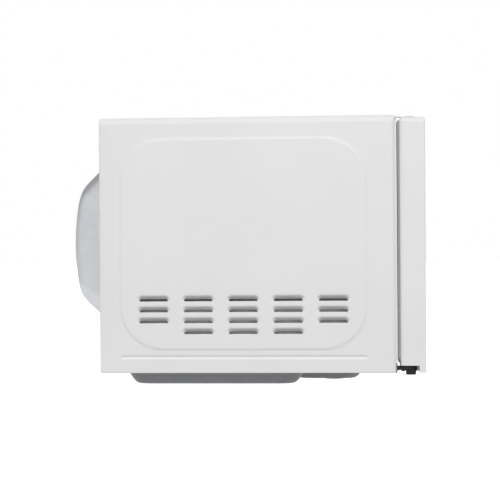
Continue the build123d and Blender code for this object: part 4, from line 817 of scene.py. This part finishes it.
def addRoom():
    world = bpy.data.worlds.new("paleRoom")
    bpy.context.scene.world = world
    world.use_nodes = True
    tree = world.node_tree
    axes = tree.nodes.new("ShaderNodeSeparateXYZ")
    tree.links.new(tree.nodes.new("ShaderNodeTexCoord").outputs["Generated"], axes.inputs["Vector"])
    half = tree.nodes.new("ShaderNodeMapRange")
    half.inputs["From Min"].default_value = -1.0
    tree.links.new(axes.outputs["Z"], half.inputs["Value"])
    ramp = tree.nodes.new("ShaderNodeValToRGB")
    stops = ramp.color_ramp.elements
    stops.new(room["levelFrom"])
    stops.new(room["levelUpTo"])
    for stop, place, level in zip(stops, (room["belowUpTo"], room["levelFrom"], room["levelUpTo"], 1.0),
                                  (room["below"], room["level"], room["level"], room["zenith"])):
        stop.position = place
        stop.color = (level, level, level, 1)
    tree.links.new(half.outputs["Result"], ramp.inputs["Fac"])
    rear = tree.nodes.new("ShaderNodeMapRange")
    rear.inputs["From Min"].default_value = room["behindFrom"]
    rear.inputs["To Min"].default_value = 1.0
    rear.inputs["To Max"].default_value = room["behind"]
    tree.links.new(axes.outputs["Y"], rear.inputs["Value"])
    tree.links.new(ramp.outputs["Color"], tree.nodes["Background"].inputs["Color"])
    tree.links.new(rear.outputs["Result"], tree.nodes["Background"].inputs["Strength"])


addRoom()
softBoxes = {"key": {"at": (-2.2, -0.3, 1.2), "aim": (-0.2, 0, 0.12), "size": 1.6, "power": 22},
             "rearStrip": {"at": (-0.85, 2.1, 0.5), "aim": (-0.22, -0.1, 0.13), "size": 0.6, "power": 6}}
for name, box in softBoxes.items():
    lamp = bpy.data.lights.new(name, "AREA")
    lamp.size = box["size"]
    lamp.energy = box["power"]
    stand = bpy.data.objects.new(name, lamp)
    bpy.context.collection.objects.link(stand)
    at, aim = (np.array(box[end], dtype=float) for end in ("at", "aim"))
    away = (at - aim) / np.linalg.norm(at - aim)
    right = np.cross((0, 0, 1), away)
    right = right / np.linalg.norm(right)
    turn = np.array([right, np.cross(away, right), away]).T
    stand.matrix_world = Matrix.Translation(at) @ Matrix(turn.tolist()).to_4x4()

viewer = {"at": (-1.721, -0.1324, 0.1245), "yaw": 0.08365, "pitch": 0.00453, "roll": -0.00665,
          "lens": 113.74, "sensor": 36, "farthest": 200}


def addCamera():
    lens = bpy.data.cameras.new("viewer")
    lens.lens = viewer["lens"]
    lens.sensor_width = viewer["sensor"]
    lens.clip_end = viewer["farthest"]
    camera = bpy.data.objects.new("viewer", lens)
    bpy.context.collection.objects.link(camera)
    yaw, pitch, roll = viewer["yaw"], viewer["pitch"], viewer["roll"]
    ahead = np.array([math.cos(yaw) * math.cos(pitch), math.sin(yaw) * math.cos(pitch), math.sin(pitch)])
    level = np.array([math.sin(yaw), -math.cos(yaw), 0])
    up = np.cross(level, ahead)
    right = math.cos(roll) * level + math.sin(roll) * up
    up = -math.sin(roll) * level + math.cos(roll) * up
    turn = Matrix(np.array([right, up, -ahead]).T.tolist()).to_4x4()
    camera.matrix_world = Matrix.Translation(viewer["at"]) @ turn
    bpy.context.scene.camera = camera


addCamera()
bpy.context.scene.view_settings.view_transform = "Standard"
print("light and camera placed")
